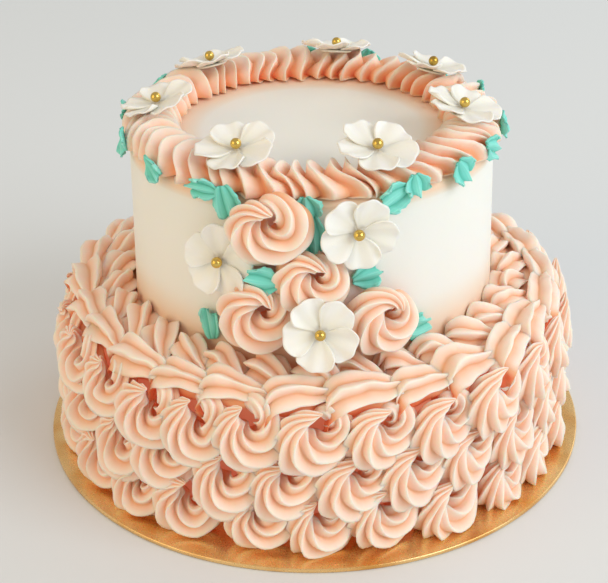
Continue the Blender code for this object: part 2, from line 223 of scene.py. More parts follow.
def thick_sheet(
    face: np.ndarray, thickness: np.ndarray, hollow: np.ndarray
) -> tuple[np.ndarray, list[tuple[int, ...]], np.ndarray]:
    """Give a curved grid of points a back and closed edges.

    Args:
        face: Front points as row, column, coordinate.
        thickness: How far the back lies behind each front point.
        hollow: The depth share in a groove of each front point.

    Returns:
        The points, the faces and the hollow values of a closed sheet.
    """
    rows, columns = face.shape[:2]
    along = np.gradient(face, axis=0)
    across = np.gradient(face, axis=1)
    normal = np.cross(along, across)
    normal /= np.linalg.norm(normal, axis=2, keepdims=True) + TINY
    back = face - normal * thickness[..., None]
    count = rows * columns
    faces: list[tuple[int, ...]] = []
    for i in range(rows - 1):
        for j in range(columns - 1):
            corner = i * columns + j
            square = (corner, corner + columns, corner + columns + 1, corner + 1)
            faces.append(square)
            faces.append(tuple(count + k for k in reversed(square)))
    rim = list(range(columns))
    rim += [i * columns + columns - 1 for i in range(1, rows)]
    rim += [(rows - 1) * columns + j for j in range(columns - 2, -1, -1)]
    rim += [i * columns for i in range(rows - 2, 0, -1)]
    for here, after in zip(rim, rim[1:] + rim[:1]):
        faces.append((here, after, count + after, count + here))
    points = np.vstack([face.reshape(-1, 3), back.reshape(-1, 3)])
    return points, faces, np.concatenate([hollow.ravel(), hollow.ravel()])


def piece_of(name: str, mesh: Mesh, material: Material) -> Object:
    """Make an object at the origin from a finished mesh and its material."""
    mesh.materials.clear()
    mesh.materials.append(material)
    item = bpy.data.objects.new(name, mesh)
    bpy.context.scene.collection.objects.link(item)
    return item


def finish_piece(name: str, mesh: Mesh, material: Material, slot: str, *nodes: str) -> None:
    """Make a piece, let it ride on the cake's body and stand for its solids.

    Args:
        name: The piece's name.
        mesh: Its finished mesh.
        material: Its finish.
        slot: The record's material slot; not used.
        nodes: The solids that the piece stands for.
    """
    item = piece_of(name, mesh, material)
    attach(item, BODY)
    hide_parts(*nodes)
    log.info("%s: %d faces", item.name, len(item.data.polygons))


class Wiring:
    """Adds and joins the nodes of one node tree."""

    def __init__(self, tree: NodeTree) -> None:
        """Keep the tree that the nodes go in."""
        self.tree = tree

    def add(self, kind: str, inputs: dict[str | int, object] | None = None, **settings: object) -> Node:
        """Add a node, with its settings and its inputs.

        Args:
            kind: The node's type.
            inputs: Values or other nodes' output sockets, by input name or number.
            settings: The node's own properties.

        Returns:
            The node.
        """
        node = self.tree.nodes.new(kind)
        for name, value in settings.items():
            setattr(node, name, value)
        self.feed_all(node, inputs or {})
        return node

    def feed_all(self, node: Node, inputs: dict[str | int, object]) -> None:
        """Give each named or numbered input of a node its value or socket."""
        for key, value in inputs.items():
            self.feed(node.inputs[key], value)

    def feed(self, socket: NodeSocket, value: object) -> None:
        """Give an input a value, or join it to another node's output."""
        if isinstance(value, NodeSocket):
            self.tree.links.new(value, socket)
        else:
            socket.default_value = value

    def place(self) -> NodeSocket:
        """Add the piece's own coordinates, in metres."""
        return self.add("ShaderNodeTexCoord").outputs["Object"]

    def pattern(
        self, scale: float, detail: float = 2.0, roughness: float = 0.5, place: NodeSocket | None = None
    ) -> NodeSocket:
        """Add a soft random pattern.

        Args:
            scale: How many waves it has in a metre.
            detail: How many finer layers it has.
            roughness: How strong those are.
            place: The coordinates, where they are not the piece's own.

        Returns:
            The pattern's value, about 0.5 on average.
        """
        size = {"Scale": scale, "Detail": detail, "Roughness": roughness}
        return self.add("ShaderNodeTexNoise", {"Vector": place or self.place(), **size}).outputs[0]

    def maths(self, operation: str, *values: object) -> NodeSocket:
        """Add a Math node and return its result."""
        return self.add("ShaderNodeMath", dict(enumerate(values)), operation=operation).outputs[0]

    def ramp(self, value: NodeSocket, low: float, high: float) -> NodeSocket:
        """Stretch a value so that low becomes 0 and high becomes 1, smoothly."""
        inputs = {"Value": value, "From Min": low, "From Max": high}
        node = self.add("ShaderNodeMapRange", inputs, interpolation_type="SMOOTHSTEP")
        return node.outputs["Result"]

    def mix(self, share: object, first: object, second: object) -> NodeSocket:
        """Mix two colours by a share and return the result."""
        return self.add("ShaderNodeMix", {0: share, 6: first, 7: second}, data_type="RGBA").outputs[2]


def new_group(name: str, kind: str, inputs: dict[str, str], outputs: dict[str, str]) -> Wiring:
    """Start a node group with named sockets.

    Args:
        name: The group's name.
        kind: The tree's type.
        inputs: Socket types by name.
        outputs: Socket types by name.

    Returns:
        The wiring of the new group.
    """
    tree = bpy.data.node_groups.new(name, kind)
    for name_of, socket in inputs.items():
        tree.interface.new_socket(name_of, in_out="INPUT", socket_type=socket)
    for name_of, socket in outputs.items():
        tree.interface.new_socket(name_of, in_out="OUTPUT", socket_type=socket)
    return Wiring(tree)


FLOAT = "NodeSocketFloat"
COLOR = "NodeSocketColor"


def icing_grain_group() -> NodeTree:
    """Build the group for the fine air bubbles and soft waves of whipped icing.

    Returns:
        A group with a height, a roughness and a slow tone that changes over the surface.
    """
    inputs = {"Bubbles": FLOAT, "Waves": FLOAT, "Gloss": FLOAT}
    outputs = {"Height": FLOAT, "Roughness": FLOAT, "Tone": FLOAT}
    wiring = new_group("Icing grain", "ShaderNodeTree", inputs, outputs)
    given = wiring.add("NodeGroupInput").outputs
    fine = wiring.pattern(1500.0, 3.0, 0.6)
    slow = wiring.pattern(160.0)
    wide = wiring.pattern(28.0)
    pits = wiring.add("ShaderNodeTexVoronoi", {"Vector": wiring.place(), "Scale": 420.0})
    pit_reach = (0.02, 0.16)
    pit_depth = 0.8
    gloss_spread = 0.25
    tone_reach = (0.32, 0.68)
    pit = wiring.maths("SUBTRACT", 1.0, wiring.ramp(pits.outputs["Distance"], *pit_reach))
    bubbles = wiring.maths("SUBTRACT", fine, wiring.maths("MULTIPLY", pit, pit_depth))
    height = wiring.maths("MULTIPLY", bubbles, given["Bubbles"])
    waves = wiring.maths("MULTIPLY", slow, given["Waves"])
    height = wiring.maths("ADD", height, waves)
    uneven = wiring.maths("MULTIPLY", wiring.maths("SUBTRACT", slow, 0.5), gloss_spread)
    rough = wiring.maths("ADD", given["Gloss"], uneven)
    tone = wiring.ramp(wide, *tone_reach)
    wiring.add("NodeGroupOutput", {"Height": height, "Roughness": rough, "Tone": tone})
    return wiring.tree


def painted_light_group() -> NodeTree:
    """Build the group that paints light and shade on a colour by how hollow each point is.

    A hollow of 0 is a crest, which gets a painted highlight, 1 the bottom of a
    groove, which gets a painted warm shade, and 2 the deepest gaps, which get a
    painted deep shade and a painted glow that stands in for light that has
    passed through the icing.

    Returns:
        A group that puts out the colour with its painted light and shade, and the painted glow of the
        deepest gaps.
    """
    colours = {"Light": COLOR, "Main": COLOR, "Deep": COLOR, "Deepest": COLOR}
    inputs = {"Hollow": FLOAT, "Tone": FLOAT, "Reach": FLOAT, **colours}
    wiring = new_group("Hollow tint", "ShaderNodeTree", inputs, {"Color": COLOR, "Glow": COLOR})
    given = wiring.add("NodeGroupInput").outputs
    crest_reach = 0.22
    crest_share = 0.85
    tone_share = 0.55
    gap_reach = (1.0, 1.8)
    # Painted highlight on the crests.
    crest = wiring.maths("SUBTRACT", 1.0, wiring.ramp(given["Hollow"], 0.0, crest_reach))
    body = wiring.mix(wiring.maths("MULTIPLY", given["Tone"], tone_share), given["Main"], given["Light"])
    lit = wiring.mix(wiring.maths("MULTIPLY", crest, crest_share), body, given["Light"])
    # Painted shade, deeper towards the bottom of the grooves.
    deep = wiring.maths("POWER", wiring.maths("MINIMUM", given["Hollow"], 1.0), given["Reach"])
    painted_light_and_shade = wiring.mix(deep, lit, given["Deep"])
    # Painted deep shade and painted glow in the gaps.
    gap = wiring.ramp(given["Hollow"], *gap_reach)
    colour = wiring.mix(gap, painted_light_and_shade, given["Deepest"])
    glow = wiring.mix(gap, (0.0, 0.0, 0.0, 1.0), given["Deepest"])
    wiring.add("NodeGroupOutput", {"Color": colour, "Glow": glow})
    return wiring.tree


def foil_group() -> NodeTree:
    """Build the group for metal foil: fine rolling lines and slow ripples.

    Returns:
        A group with a height, a roughness and a mask of the duller spots.
    """
    outputs = {"Height": FLOAT, "Roughness": FLOAT, "Dull": FLOAT}
    wiring = new_group("Foil", "ShaderNodeTree", {"Gloss": FLOAT}, outputs)
    given = wiring.add("NodeGroupInput").outputs
    line_stretch = (1.0, 60.0, 1.0)
    line_share = 0.25
    speck_middle = 0.4
    speck_share = 0.25
    dull_reach = (0.42, 0.7)
    lines = wiring.add("ShaderNodeMapping", {"Vector": wiring.place(), "Scale": line_stretch}).outputs[0]
    rolled = wiring.pattern(60.0, place=lines)
    ripple = wiring.pattern(35.0)
    speck = wiring.pattern(900.0)
    height = wiring.maths("ADD", wiring.maths("MULTIPLY", rolled, line_share), ripple)
    rough = wiring.maths("MULTIPLY", wiring.maths("SUBTRACT", speck, speck_middle), speck_share)
    rough = wiring.maths("ADD", given["Gloss"], rough)
    dull = wiring.ramp(ripple, *dull_reach)
    wiring.add("NodeGroupOutput", {"Height": height, "Roughness": rough, "Dull": dull})
    return wiring.tree


@dataclass
class Groups:
    """The node groups that the finishes share."""

    grain: NodeTree = field(default_factory=icing_grain_group)
    tint: NodeTree = field(default_factory=painted_light_group)
    foil: NodeTree = field(default_factory=foil_group)


def new_material(name: str, plain: Colour) -> tuple[Material, Wiring]:
    """Start a material.

    Args:
        name: The material's name.
        plain: Its colour in plain views.

    Returns:
        The material and its wiring.
    """
    finish = bpy.data.materials.new(name)
    finish.use_nodes = True
    finish.diffuse_color = linear(plain)
    return finish, Wiring(finish.node_tree)


@dataclass(frozen=True)
class IcingFinish:
    """Piped or spread icing with painted light and shade: highlights on its crests, warmer and deeper
    shade in its grooves and a glow in its gaps.

    light is the colour of the painted highlight on the crests, main of the sides,
    deep of the painted shade in the grooves and deepest of the painted shade in
    the gaps, and reach says how late the groove's painted shade comes in.
    bubbles and waves are the heights of the relief in metres. glow is how far
    light travels under the surface, glow_share how much of it does, and
    gap_glow how strongly the gaps shine with a painted glow, which stands in for the light that has come
    through.
    """

    name: str
    light: Colour
    main: Colour
    deep: Colour
    deepest: Colour = (190, 74, 42)
    reach: float = 1.6
    roughness: float = 0.5
    bubbles: float = 0.05 * MM
    waves: float = 0.25 * MM
    glow: float = 3.0 * MM
    glow_share: float = 0.35
    glow_colour: Colour = (1.0, 0.42, 0.26)
    gap_glow: float = 0.0
    relief: float = 0.8
    shine: float = 0.35

    def material(self, groups: Groups) -> Material:
        """Build the material.

        Args:
            groups: The shared node groups.

        Returns:
            The material.
        """
        finish, wiring = new_material(self.name, self.main)
        relief = {"Bubbles": self.bubbles / MM, "Waves": self.waves / MM, "Gloss": self.roughness}
        grain = wiring.add("ShaderNodeGroup", relief, node_tree=groups.grain)
        dab = wiring.add("ShaderNodeAttribute", attribute_name="dab_tone").outputs["Fac"]
        colours = {
            "Hollow": wiring.add("ShaderNodeAttribute", attribute_name="hollow").outputs["Fac"],
            "Tone": wiring.maths("ADD", wiring.maths("MULTIPLY", grain.outputs["Tone"], 0.5), dab),
            "Light": linear(self.light),
            "Main": linear(self.main),
            "Deep": linear(self.deep),
            "Deepest": linear(self.deepest),
            "Reach": self.reach,
        }
        # Painted highlight, shade and glow, by how hollow each point is.
        tint = wiring.add("ShaderNodeGroup", colours, node_tree=groups.tint)
        height = {"Height": grain.outputs["Height"], "Distance": MM, "Strength": self.relief}
        bump = wiring.add("ShaderNodeBump", height)
        wiring.feed_all(
            finish.node_tree.nodes["Principled BSDF"],
            {
                "Base Color": tint.outputs["Color"],
                # The gaps get a painted glow, as emission.
                "Emission Color": tint.outputs["Glow"],
                "Emission Strength": self.gap_glow,
                "Roughness": grain.outputs["Roughness"],
                "Normal": bump.outputs[0],
                "Subsurface Weight": self.glow_share,
                "Subsurface Radius": self.glow_colour,
                "Subsurface Scale": self.glow,
                "Specular IOR Level": self.shine,
            },
        )
        return finish


@dataclass(frozen=True)
class GoldFinish:
    """Gold foil or a gold coating, with duller spots and a relief in metres."""

    name: str
    bright: Colour
    dull: Colour
    roughness: float
    metallic: float
    relief: float

    def material(self, groups: Groups) -> Material:
        """Build the material.

        Args:
            groups: The shared node groups.

        Returns:
            The material.
        """
        finish, wiring = new_material(self.name, self.bright)
        foil = wiring.add("ShaderNodeGroup", {"Gloss": self.roughness}, node_tree=groups.foil)
        bump = wiring.add("ShaderNodeBump", {"Height": foil.outputs["Height"], "Distance": self.relief})
        wiring.feed_all(
            finish.node_tree.nodes["Principled BSDF"],
            {
                "Base Color": wiring.mix(foil.outputs["Dull"], linear(self.bright), linear(self.dull)),
                "Roughness": foil.outputs["Roughness"],
                "Normal": bump.outputs[0],
                "Metallic": self.metallic,
            },
        )
        return finish


# Peach buttercream: a painted highlight on the crests, painted shade in the grooves, and painted deep
# shade with a painted glow in the gaps.
PEACH_BUTTERCREAM = IcingFinish(
    "peach_buttercream",
    (255, 241, 228),
    (254, 233, 220),
    (248, 182, 138),
    (220, 104, 64),
    reach=1.4,
    glow_share=0.5,
    gap_glow=0.18,
)
# The coral base coat, which has a painted glow all over, as the shaded gaps between the dabs.
BASE_COAT = IcingFinish(
    "coral_base_coat",
    (252, 208, 180),
    (250, 195, 162),
    (248, 184, 150),
    (242, 162, 126),
    roughness=0.6,
    glow_colour=(1.0, 0.58, 0.4),
    gap_glow=0.3,
)
# Cream icing, whose deep colour is the painted peach light and shade beside the piping.
CREAM_ICING = IcingFinish(
    "cream_icing",
    (242, 242, 236),
    (239, 238, 229),
    (248, 186, 126),
    reach=1.0,
    bubbles=0.02 * MM,
    waves=0.12 * MM,
    glow_colour=(1.0, 0.8, 0.55),
)
# White petal icing: a painted highlight on the petals' open edges and painted shade in their hollows.
PETAL_ICING = IcingFinish(
    "white_petal_icing",
    (247, 246, 240),
    (242, 240, 229),
    (222, 214, 186),
    glow=1.5 * MM,
    glow_colour=(1.0, 0.85, 0.6),
)
# Leaf icing: a painted highlight on the fold ridges and painted shade in the folds.
LEAF_ICING = IcingFinish(
    "leaf_icing",
    (170, 240, 228),
    (130, 226, 214),
    (66, 178, 156),
    roughness=0.42,
    glow=1.2 * MM,
    glow_colour=(0.4, 1.0, 0.75),
)
BOARD_FOIL = GoldFinish("gold_card", (242, 204, 142), (224, 166, 90), 0.27, 0.86, 0.12 * MM)
BEAD_COAT = GoldFinish("gold_bead", (222, 188, 100), (186, 148, 62), 0.16, 0.95, 0.02 * MM)


@dataclass(frozen=True)
class StarTip:
    """The star-shaped mouth of a piping nozzle, whose teeth leave sharp crests.

    groove is how far a groove sinks as a share of the radius, crest is where
    each tooth is highest from 0 to 1, rising and falling are how many points
    lie on its two sides, and a fullness under 1 hollows those sides. The points
    crowd towards the crests by the power crowding.
    """

    teeth: int
    groove: float
    crest: float
    rising: int
    falling: int
    fullness: float = 0.95
    crowding: float = 1.35

    def ring(self) -> tuple[np.ndarray, np.ndarray]:
        """Work out one ring of points, closer together near the crests.

        Returns:
            Their angles, and how hollow they are.
        """
        before = (1 - np.arange(self.rising) / self.rising) ** self.crowding
        after = (np.arange(self.falling) / self.falling) ** self.crowding
        share = np.concatenate([self.crest * (1 - before), self.crest + (1 - self.crest) * after])
        hollow = np.concatenate([before, after]) ** self.fullness
        angles = []
        for tooth in range(self.teeth):
            angles.append((tooth + share) * math.tau / self.teeth)
        return np.concatenate(angles), np.tile(hollow, self.teeth)


class Nozzle(Enum):
    """The star tips that the cake was piped with."""

    SIDE = StarTip(7, 0.42, 0.42, 3, 4)
    CASCADE = StarTip(6, 0.44, 0.42, 5, 7)
    SHELL = StarTip(6, 0.46, 0.42, 4, 4)


@dataclass(frozen=True)
class PipedRope:
    """Icing pressed out of a star tip along a line.

    middle, side and out are the line's points and the two directions that the
    section lies in, radius its size and turn the angle of its teeth. crisp is
    how deep the grooves are at each point. lobes moves each ring's crests along
    the line, and under the height sink the icing gets the painted deep shade
    and painted glow of the gaps.
    """

    middle: np.ndarray
    side: np.ndarray
    out: np.ndarray
    radius: np.ndarray
    turn: np.ndarray
    flat: float = 0.92
    lobes: np.ndarray | None = None
    sink: float = 8 * MM
    crisp: np.ndarray | None = None

    def mesh(self, name: str, tip: StarTip) -> Mesh:
        """Skin the rope.

        Args:
            name: The mesh's name.
            tip: The star tip.

        Returns:
            The closed mesh.
        """
        angle, hollow = tip.ring()
        section = angle[None, :] + self.turn[:, None]
        crisp = np.ones(len(self.radius)) if self.crisp is None else self.crisp
        hollow = hollow[None, :] * crisp[:, None]
        reach = self.radius[:, None] * (1 - tip.groove * hollow)
        across = (reach * np.cos(section))[..., None] * self.side[:, None, :]
        upward = (reach * np.sin(section) * self.flat)[..., None] * self.out[:, None, :]
        rings = self.middle[:, None, :] + across + upward
        if self.lobes is not None:
            rings = rings + (1 - hollow)[:, :, None] * self.lobes[:, None, :]
        # Painted deep shade and painted glow where the icing lies low in the piping, under the height
        # sink.
        painted_low_shade = np.clip(1 - rings[..., 2] / self.sink, 0, 1)
        return closed_tube(name, rings, hollow + painted_low_shade * (PAINTED_GAP_HOLLOW - 0.5 * hollow))


@dataclass(frozen=True)
class Swirl:
    """A swirl piped clockwise round its eye, ending in a pulled-up point.

    Each key is an angle in degrees round the eye, a distance from it, the
    rope's radius there and how far its middle stands out, in millimetres.
    wander, swell and lift are how much these may change, as shares, and stretch
    how far the whole is drawn out. The grooves grow over the first start_arc
    degrees from a share of start_crisp to their full depth.
    """

    keys: tuple[tuple[float, float, float, float], ...]
    stations: int
    tip: StarTip
    wander: float = 0.05
    swell: float = 0.05
    lift: float = 0.04
    stretch: tuple[float, float] = (0.98, 1.08)
    start_arc: float = 110
    start_crisp: float = 0.3

    def mesh(self, name: str, draw: random.Random) -> Mesh:
        """Pipe one swirl, a little different each time.

        Args:
            name: The mesh's name.
            draw: Where the small differences come from.

        Returns:
            The mesh, with its eye at the origin and Z outward.
        """
        line = through(self.keys, self.stations)
        wobble = draw.uniform(0, math.tau)
        angle = np.radians(line[:, 0])
        reach = line[:, 1] * MM * (1 + self.wander * np.sin(2 * angle + wobble))
        radius = line[:, 2] * MM * (1 + self.swell * np.sin(3 * angle + wobble))
        height = line[:, 3] * MM * (1 + self.lift * np.sin(angle + 2 * wobble))
        side = np.stack([np.cos(angle), np.sin(angle), np.zeros_like(angle)], axis=1)
        out = np.tile((0.0, 0.0, 1.0), (len(angle), 1))
        stretch = np.array((draw.uniform(*self.stretch), draw.uniform(*self.stretch), 1.0))
        middle = (side * reach[:, None] + out * height[:, None]) * stretch
        turn = -angle + draw.uniform(0, math.tau)
        crisp = np.clip((line[0, 0] - line[:, 0]) / self.start_arc, self.start_crisp, 1)
        return PipedRope(middle, side, out, radius, turn, crisp=crisp).mesh(name, self.tip)


SIDE_SWIRL = Swirl(
    (
        (116, 4.6, 0.6, 5.0),
        (104, 5.0, 1.8, 5.2),
        (84, 5.8, 3.0, 5.6),
        (54, 6.6, 4.3, 6.0),
        (18, 7.0, 5.4, 6.4),
        (-22, 7.4, 6.4, 6.8),
        (-58, 9.8, 8.0, 7.4),
        (-92, 11.8, 9.4, 8.2),
        (-122, 12.0, 9.6, 8.6),
        (-152, 10.2, 7.8, 9.4),
        (-182, 8.2, 5.6, 10.4),
        (-208, 7.0, 4.0, 11.2),
        (-230, 6.6, 2.8, 11.9),
        (-250, 6.6, 1.8, 12.4),
        (-264, 7.0, 1.0, 12.8),
        (-272, 7.4, 0.4, 13.0),
    ),
    58,
    Nozzle.SIDE.value,
)

CASCADE_SWIRL = Swirl(
    (
        (140, 4.6, 1.0, 4.4),
        (118, 5.2, 2.6, 4.8),
        (80, 6.2, 4.6, 5.4),
        (30, 8.0, 6.4, 6.0),
        (-10, 9.8, 7.8, 6.4),
        (-50, 11.4, 9.0, 6.6),
        (-90, 12.4, 9.6, 6.8),
        (-130, 11.8, 9.2, 7.2),
        (-170, 9.8, 7.6, 7.8),
        (-205, 7.6, 5.8, 9.0),
        (-235, 6.2, 4.4, 10.2),
        (-262, 5.6, 3.0, 11.2),
        (-285, 5.4, 1.8, 11.8),
        (-303, 5.4, 0.7, 12.2),
    ),
    96,
    Nozzle.CASCADE.value,
)


def piping_tree() -> NodeTree:
    """Build the tree that sets piped dabs on guide points round the cake.

    Each guide point gets one dab, turned to face away from the cake's axis,
    leaned, spun and sized a little by chance from a fixed seed.

    Returns:
        The Geometry Nodes tree.
    """
    inputs = {
        "Guide": "NodeSocketGeometry",
        "Dabs": "NodeSocketCollection",
        "Lean": FLOAT,
        "Turn": FLOAT,
        "Turn spread": FLOAT,
        "Smallest": FLOAT,
        "Largest": FLOAT,
        "Kinds": "NodeSocketInt",
        "Seed": "NodeSocketInt",
        "Icing": "NodeSocketMaterial",
    }
    wiring = new_group("Piped round", "GeometryNodeTree", inputs, {"Geometry": "NodeSocketGeometry"})
    wiring.tree.is_modifier = True
    given = wiring.add("NodeGroupInput").outputs
    place = wiring.add("GeometryNodeInputPosition").outputs[0]
    parts = wiring.add("ShaderNodeSeparateXYZ", {0: place}).outputs
    azimuth = wiring.maths("ARCTAN2", parts["X"], wiring.maths("MULTIPLY", parts["Y"], -1.0))
    upright = wiring.maths("ADD", given["Lean"], math.pi / 2)
    facing = wiring.add("ShaderNodeCombineXYZ", {"X": upright, "Z": azimuth}).outputs[0]
    facing = wiring.add("FunctionNodeEulerToRotation", {0: facing}).outputs[0]
    least = wiring.maths("SUBTRACT", given["Turn"], given["Turn spread"])
    most = wiring.maths("ADD", given["Turn"], given["Turn spread"])
    turn = chance(wiring, least, most, 0)
    spin = wiring.add("ShaderNodeCombineXYZ", {"Z": turn}).outputs[0]
    spin = wiring.add("FunctionNodeEulerToRotation", {0: spin}).outputs[0]
    both = {0: facing, 1: spin}
    rotation = wiring.add("FunctionNodeRotateRotation", both, rotation_space="LOCAL").outputs[0]
    size = chance(wiring, given["Smallest"], given["Largest"], 1)
    picked = wiring.maths("MULTIPLY", chance(wiring, 0.0, JUST_UNDER_ONE, 2), given["Kinds"])
    shelf = {"Collection": given["Dabs"], "Separate Children": True, "Reset Children": True}
    dabs = wiring.add("GeometryNodeCollectionInfo", shelf)
    dotted = wiring.add(
        "GeometryNodeInstanceOnPoints",
        {
            "Points": given["Guide"],
            "Instance": dabs.outputs[0],
            "Pick Instance": True,
            "Instance Index": wiring.maths("FLOOR", picked),
            "Rotation": rotation,
            "Scale": size,
        },
    ).outputs[0]
    toned = wiring.add(
        "GeometryNodeStoreNamedAttribute",
        {"Geometry": dotted, "Name": "dab_tone", "Value": chance(wiring, 0.0, PALEST_DAB, 3)},
        domain="INSTANCE",
        data_type="FLOAT",
    ).outputs[0]
    solid = wiring.add("GeometryNodeRealizeInstances", {"Geometry": toned}).outputs[0]
    dressed = wiring.add("GeometryNodeSetMaterial", {"Geometry": solid, "Material": given["Icing"]})
    wiring.add("NodeGroupOutput", {"Geometry": dressed.outputs[0]})
    return wiring.tree


def chance(wiring: Wiring, low: object, high: object, step: int) -> NodeSocket:
    """Add a Random Value node for floats, from the tree's own seed.

    Args:
        wiring: The tree's wiring, with its Group Input.
        low: The least value, or a socket.
        high: The greatest value, or a socket.
        step: Keeps this draw apart from the tree's other ones.

    Returns:
        The random value of each point.
    """
    seed = wiring.tree.nodes["Group Input"].outputs["Seed"]
    node = wiring.add("FunctionNodeRandomValue", data_type="FLOAT")
    floats = [socket for socket in node.inputs if socket.type == "VALUE"]
    for socket, value in zip(floats, (low, high)):
        wiring.feed(socket, value)
    wiring.feed(node.inputs["Seed"], wiring.maths("ADD", seed, float(SEED_STEP * step)))
    return next(socket for socket in node.outputs if socket.type == "VALUE")


@dataclass
class Piping:
    """Sets dabs on guide points with the tree, and keeps the result as a plain mesh."""

    tree: NodeTree = field(default_factory=piping_tree)

    def mesh(
        self,
        name: str,
        places: Sequence[Vector],
        dabs: Sequence[Mesh],
        icing: Material,
        inputs: dict[str, float],
    ) -> Mesh:
        """Run the tree once.

        Args:
            name: The mesh's name.
            places: The guide points.
            dabs: The kinds of dab to pick from.
            icing: The material.
            inputs: The tree's other inputs by name.

        Returns:
            The realized mesh.
        """
        shelf = bpy.data.collections.new(f"{name}_dabs")
        bpy.context.scene.collection.children.link(shelf)
        for mesh in dabs:
            shelf.objects.link(bpy.data.objects.new(mesh.name, mesh))
        data = bpy.data.meshes.new(f"{name}_guide")
        data.from_pydata([tuple(place) for place in places], [], [])
        guide = bpy.data.objects.new(f"{name}_guide", data)
        bpy.context.scene.collection.objects.link(guide)
        modifier = guide.modifiers.new("Piping", "NODES")
        modifier.node_group = self.tree
        values = {"Dabs": shelf, "Icing": icing, "Kinds": len(dabs), **inputs}
        for item in self.tree.interface.items_tree:
            if item.item_type == "SOCKET" and item.name in values:
                modifier[item.identifier] = values[item.name]
        graph = bpy.context.evaluated_depsgraph_get()
        made = bpy.data.meshes.new_from_object(guide.evaluated_get(graph))
        made.name = name
        guide.modifiers.remove(modifier)
        for item in [guide, *shelf.objects]:
            bpy.data.objects.remove(item)
        bpy.data.collections.remove(shelf)
        return made


@dataclass(frozen=True)
class PulledDab:
    """A dab pressed out of a star tip and pulled along a line, as a shell is.

    Each key is the rope's middle and its radius, in millimetres: along the
    ring, towards the cake's axis, up, radius. twist is how far the teeth turn
    on the way, in degrees, and splay how far they bulge back and down at the
    head. drift is how far the line strays, and swell how much its size may change.
    """

    keys: tuple[tuple[float, float, float, float], ...]
    stations: int
    twist: float
    flat: float
    tip: StarTip
    splay: float
    drift: float = 0.9 * MM
    swell: float = 0.07
    droop: float = 0.5
    head: float = 1.3
    sink: float = 5 * MM

    def mesh(self, name: str, draw: random.Random) -> Mesh:
        """Pipe one dab, a little different each time.

        Args:
            name: The mesh's name.
            draw: Where the small differences come from.

        Returns:
            The mesh, lying on its X-Y plane with Z up.
        """
        line = through(self.keys, self.stations)
        share = np.linspace(0, 1, self.stations)
        wobble = draw.uniform(0, math.tau)
        middle = line[:, :3] * MM
        middle[:, 1] += self.drift * np.sin(4 * share + wobble)
        radius = line[:, 3] * MM * (1 + self.swell * np.sin(6 * share + 2 * wobble))
        ahead = np.gradient(middle, axis=0)
        side = np.stack([ahead[:, 1], -ahead[:, 0], np.zeros(len(ahead))], axis=1)
        side /= np.linalg.norm(side, axis=1, keepdims=True)
        out = np.tile((0.0, 0.0, 1.0), (self.stations, 1))
        turn = np.radians(self.twist) * share + draw.uniform(0, math.tau)
        back = -ahead / np.linalg.norm(ahead, axis=1, keepdims=True)
        hang = back - (0.0, 0.0, self.droop)
        lobes = hang * (self.splay * MM * np.clip(1 - 3 * share, 0, 1) ** self.head)[:, None]
        rope = PipedRope(middle, side, out, radius, turn, self.flat, lobes, self.sink)
        return rope.mesh(name, self.tip)


OUTER_SHELL = PulledDab(
    (
        (-13.0, -3.0, 1.6, 6.0),
        (-12.4, -3.0, 3.8, 9.0),
        (-9.4, -2.6, 5.4, 10.8),
        (-4.2, -2.2, 6.0, 10.6),
        (2.0, -1.8, 6.0, 9.2),
        (8.0, -1.4, 5.8, 7.4),
        (13.5, -1.0, 5.4, 5.6),
        (18.0, -0.6, 5.0, 3.6),
        (22.0, -0.4, 4.6, 1.2),
    ),
    36,
    26,
    0.88,
    Nozzle.SHELL.value,
    8.0,
)

INNER_SHELL = PulledDab(
    (
        (-8.0, 0.0, 8.0, 5.0),
        (-7.2, 0.0, 8.8, 7.4),
        (-5.0, 0.0, 9.0, 9.0),
        (-1.0, 0.0, 8.6, 9.4),
        (4.0, 0.0, 7.4, 8.2),
        (9.0, 0.0, 6.0, 6.2),
        (13.5, 0.0, 4.8, 4.0),
        (17.0, 0.0, 4.0, 1.4),
    ),
    28,
    14,
    0.9,
    Nozzle.SHELL.value,
    4.5,
)


def turned(
    name: str,
    profile: Sequence[tuple[float, float]],
    sides: int,
    uneven: Callable[[np.ndarray, np.ndarray], np.ndarray] | None = None,
) -> Mesh:
    """Turn a profile round the Z axis.

    Args:
        name: The mesh's name.
        profile: Radius and height from the top's middle to the bottom's middle.
        sides: How many steps round.
        uneven: What to add to the radius at angles and heights.

    Returns:
        The closed mesh.
    """
    outline = np.array(profile[1:-1])
    angle = np.arange(sides) * math.tau / sides
    radius = np.repeat(outline[:, :1], sides, axis=1)
    height = np.repeat(outline[:, 1:], sides, axis=1)
    angles = np.broadcast_to(angle, radius.shape)
    if uneven is not None:
        radius = radius + uneven(angles, height)
    rings = np.stack([radius * np.cos(angles), radius * np.sin(angles), height], axis=2)
    return closed_tube(name, rings, np.zeros(rings.shape[:2]))


def rounded(radius: float, top: float, edge: float, steps: int) -> list[tuple[float, float]]:
    """Give the points of a rounded top edge, from the flat top to the side.

    Args:
        radius: The reach of the side.
        top: The height of the flat top.
        edge: The radius of the rounding.
        steps: How many points the arc has.

    Returns:
        Radius and height of each point.
    """
    points = []
    for i in range(steps + 1):
        angle = 0.5 * math.pi * i / steps
        points.append((radius - edge + edge * math.sin(angle), top - edge + edge * math.cos(angle)))
    return points


@dataclass
class CakeBoard:
    """The round card board with its gold foil."""

    groups: Groups
    sides: int = 240
    edge: float = 0.5 * MM
    edge_steps: int = 4
    rings: tuple[float, ...] = (0.05, 0.5, 0.85)

    def build(self) -> None:
        """Make the board and dress it."""
        low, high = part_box("board")
        edge = rounded(high.x, high.z, self.edge, self.edge_steps)
        profile = [(0.0, high.z)]
        profile += [(share * high.x, high.z) for share in self.rings]
        profile += edge
        profile += [(reach, low.z + high.z - height) for reach, height in reversed(edge)]
        profile += [(self.rings[0] * high.x, low.z), (0.0, low.z)]
        mesh = turned("gold_board", profile, self.sides)
        finish_piece("gold_board", mesh, BOARD_FOIL.material(self.groups), "gold_card", "board")


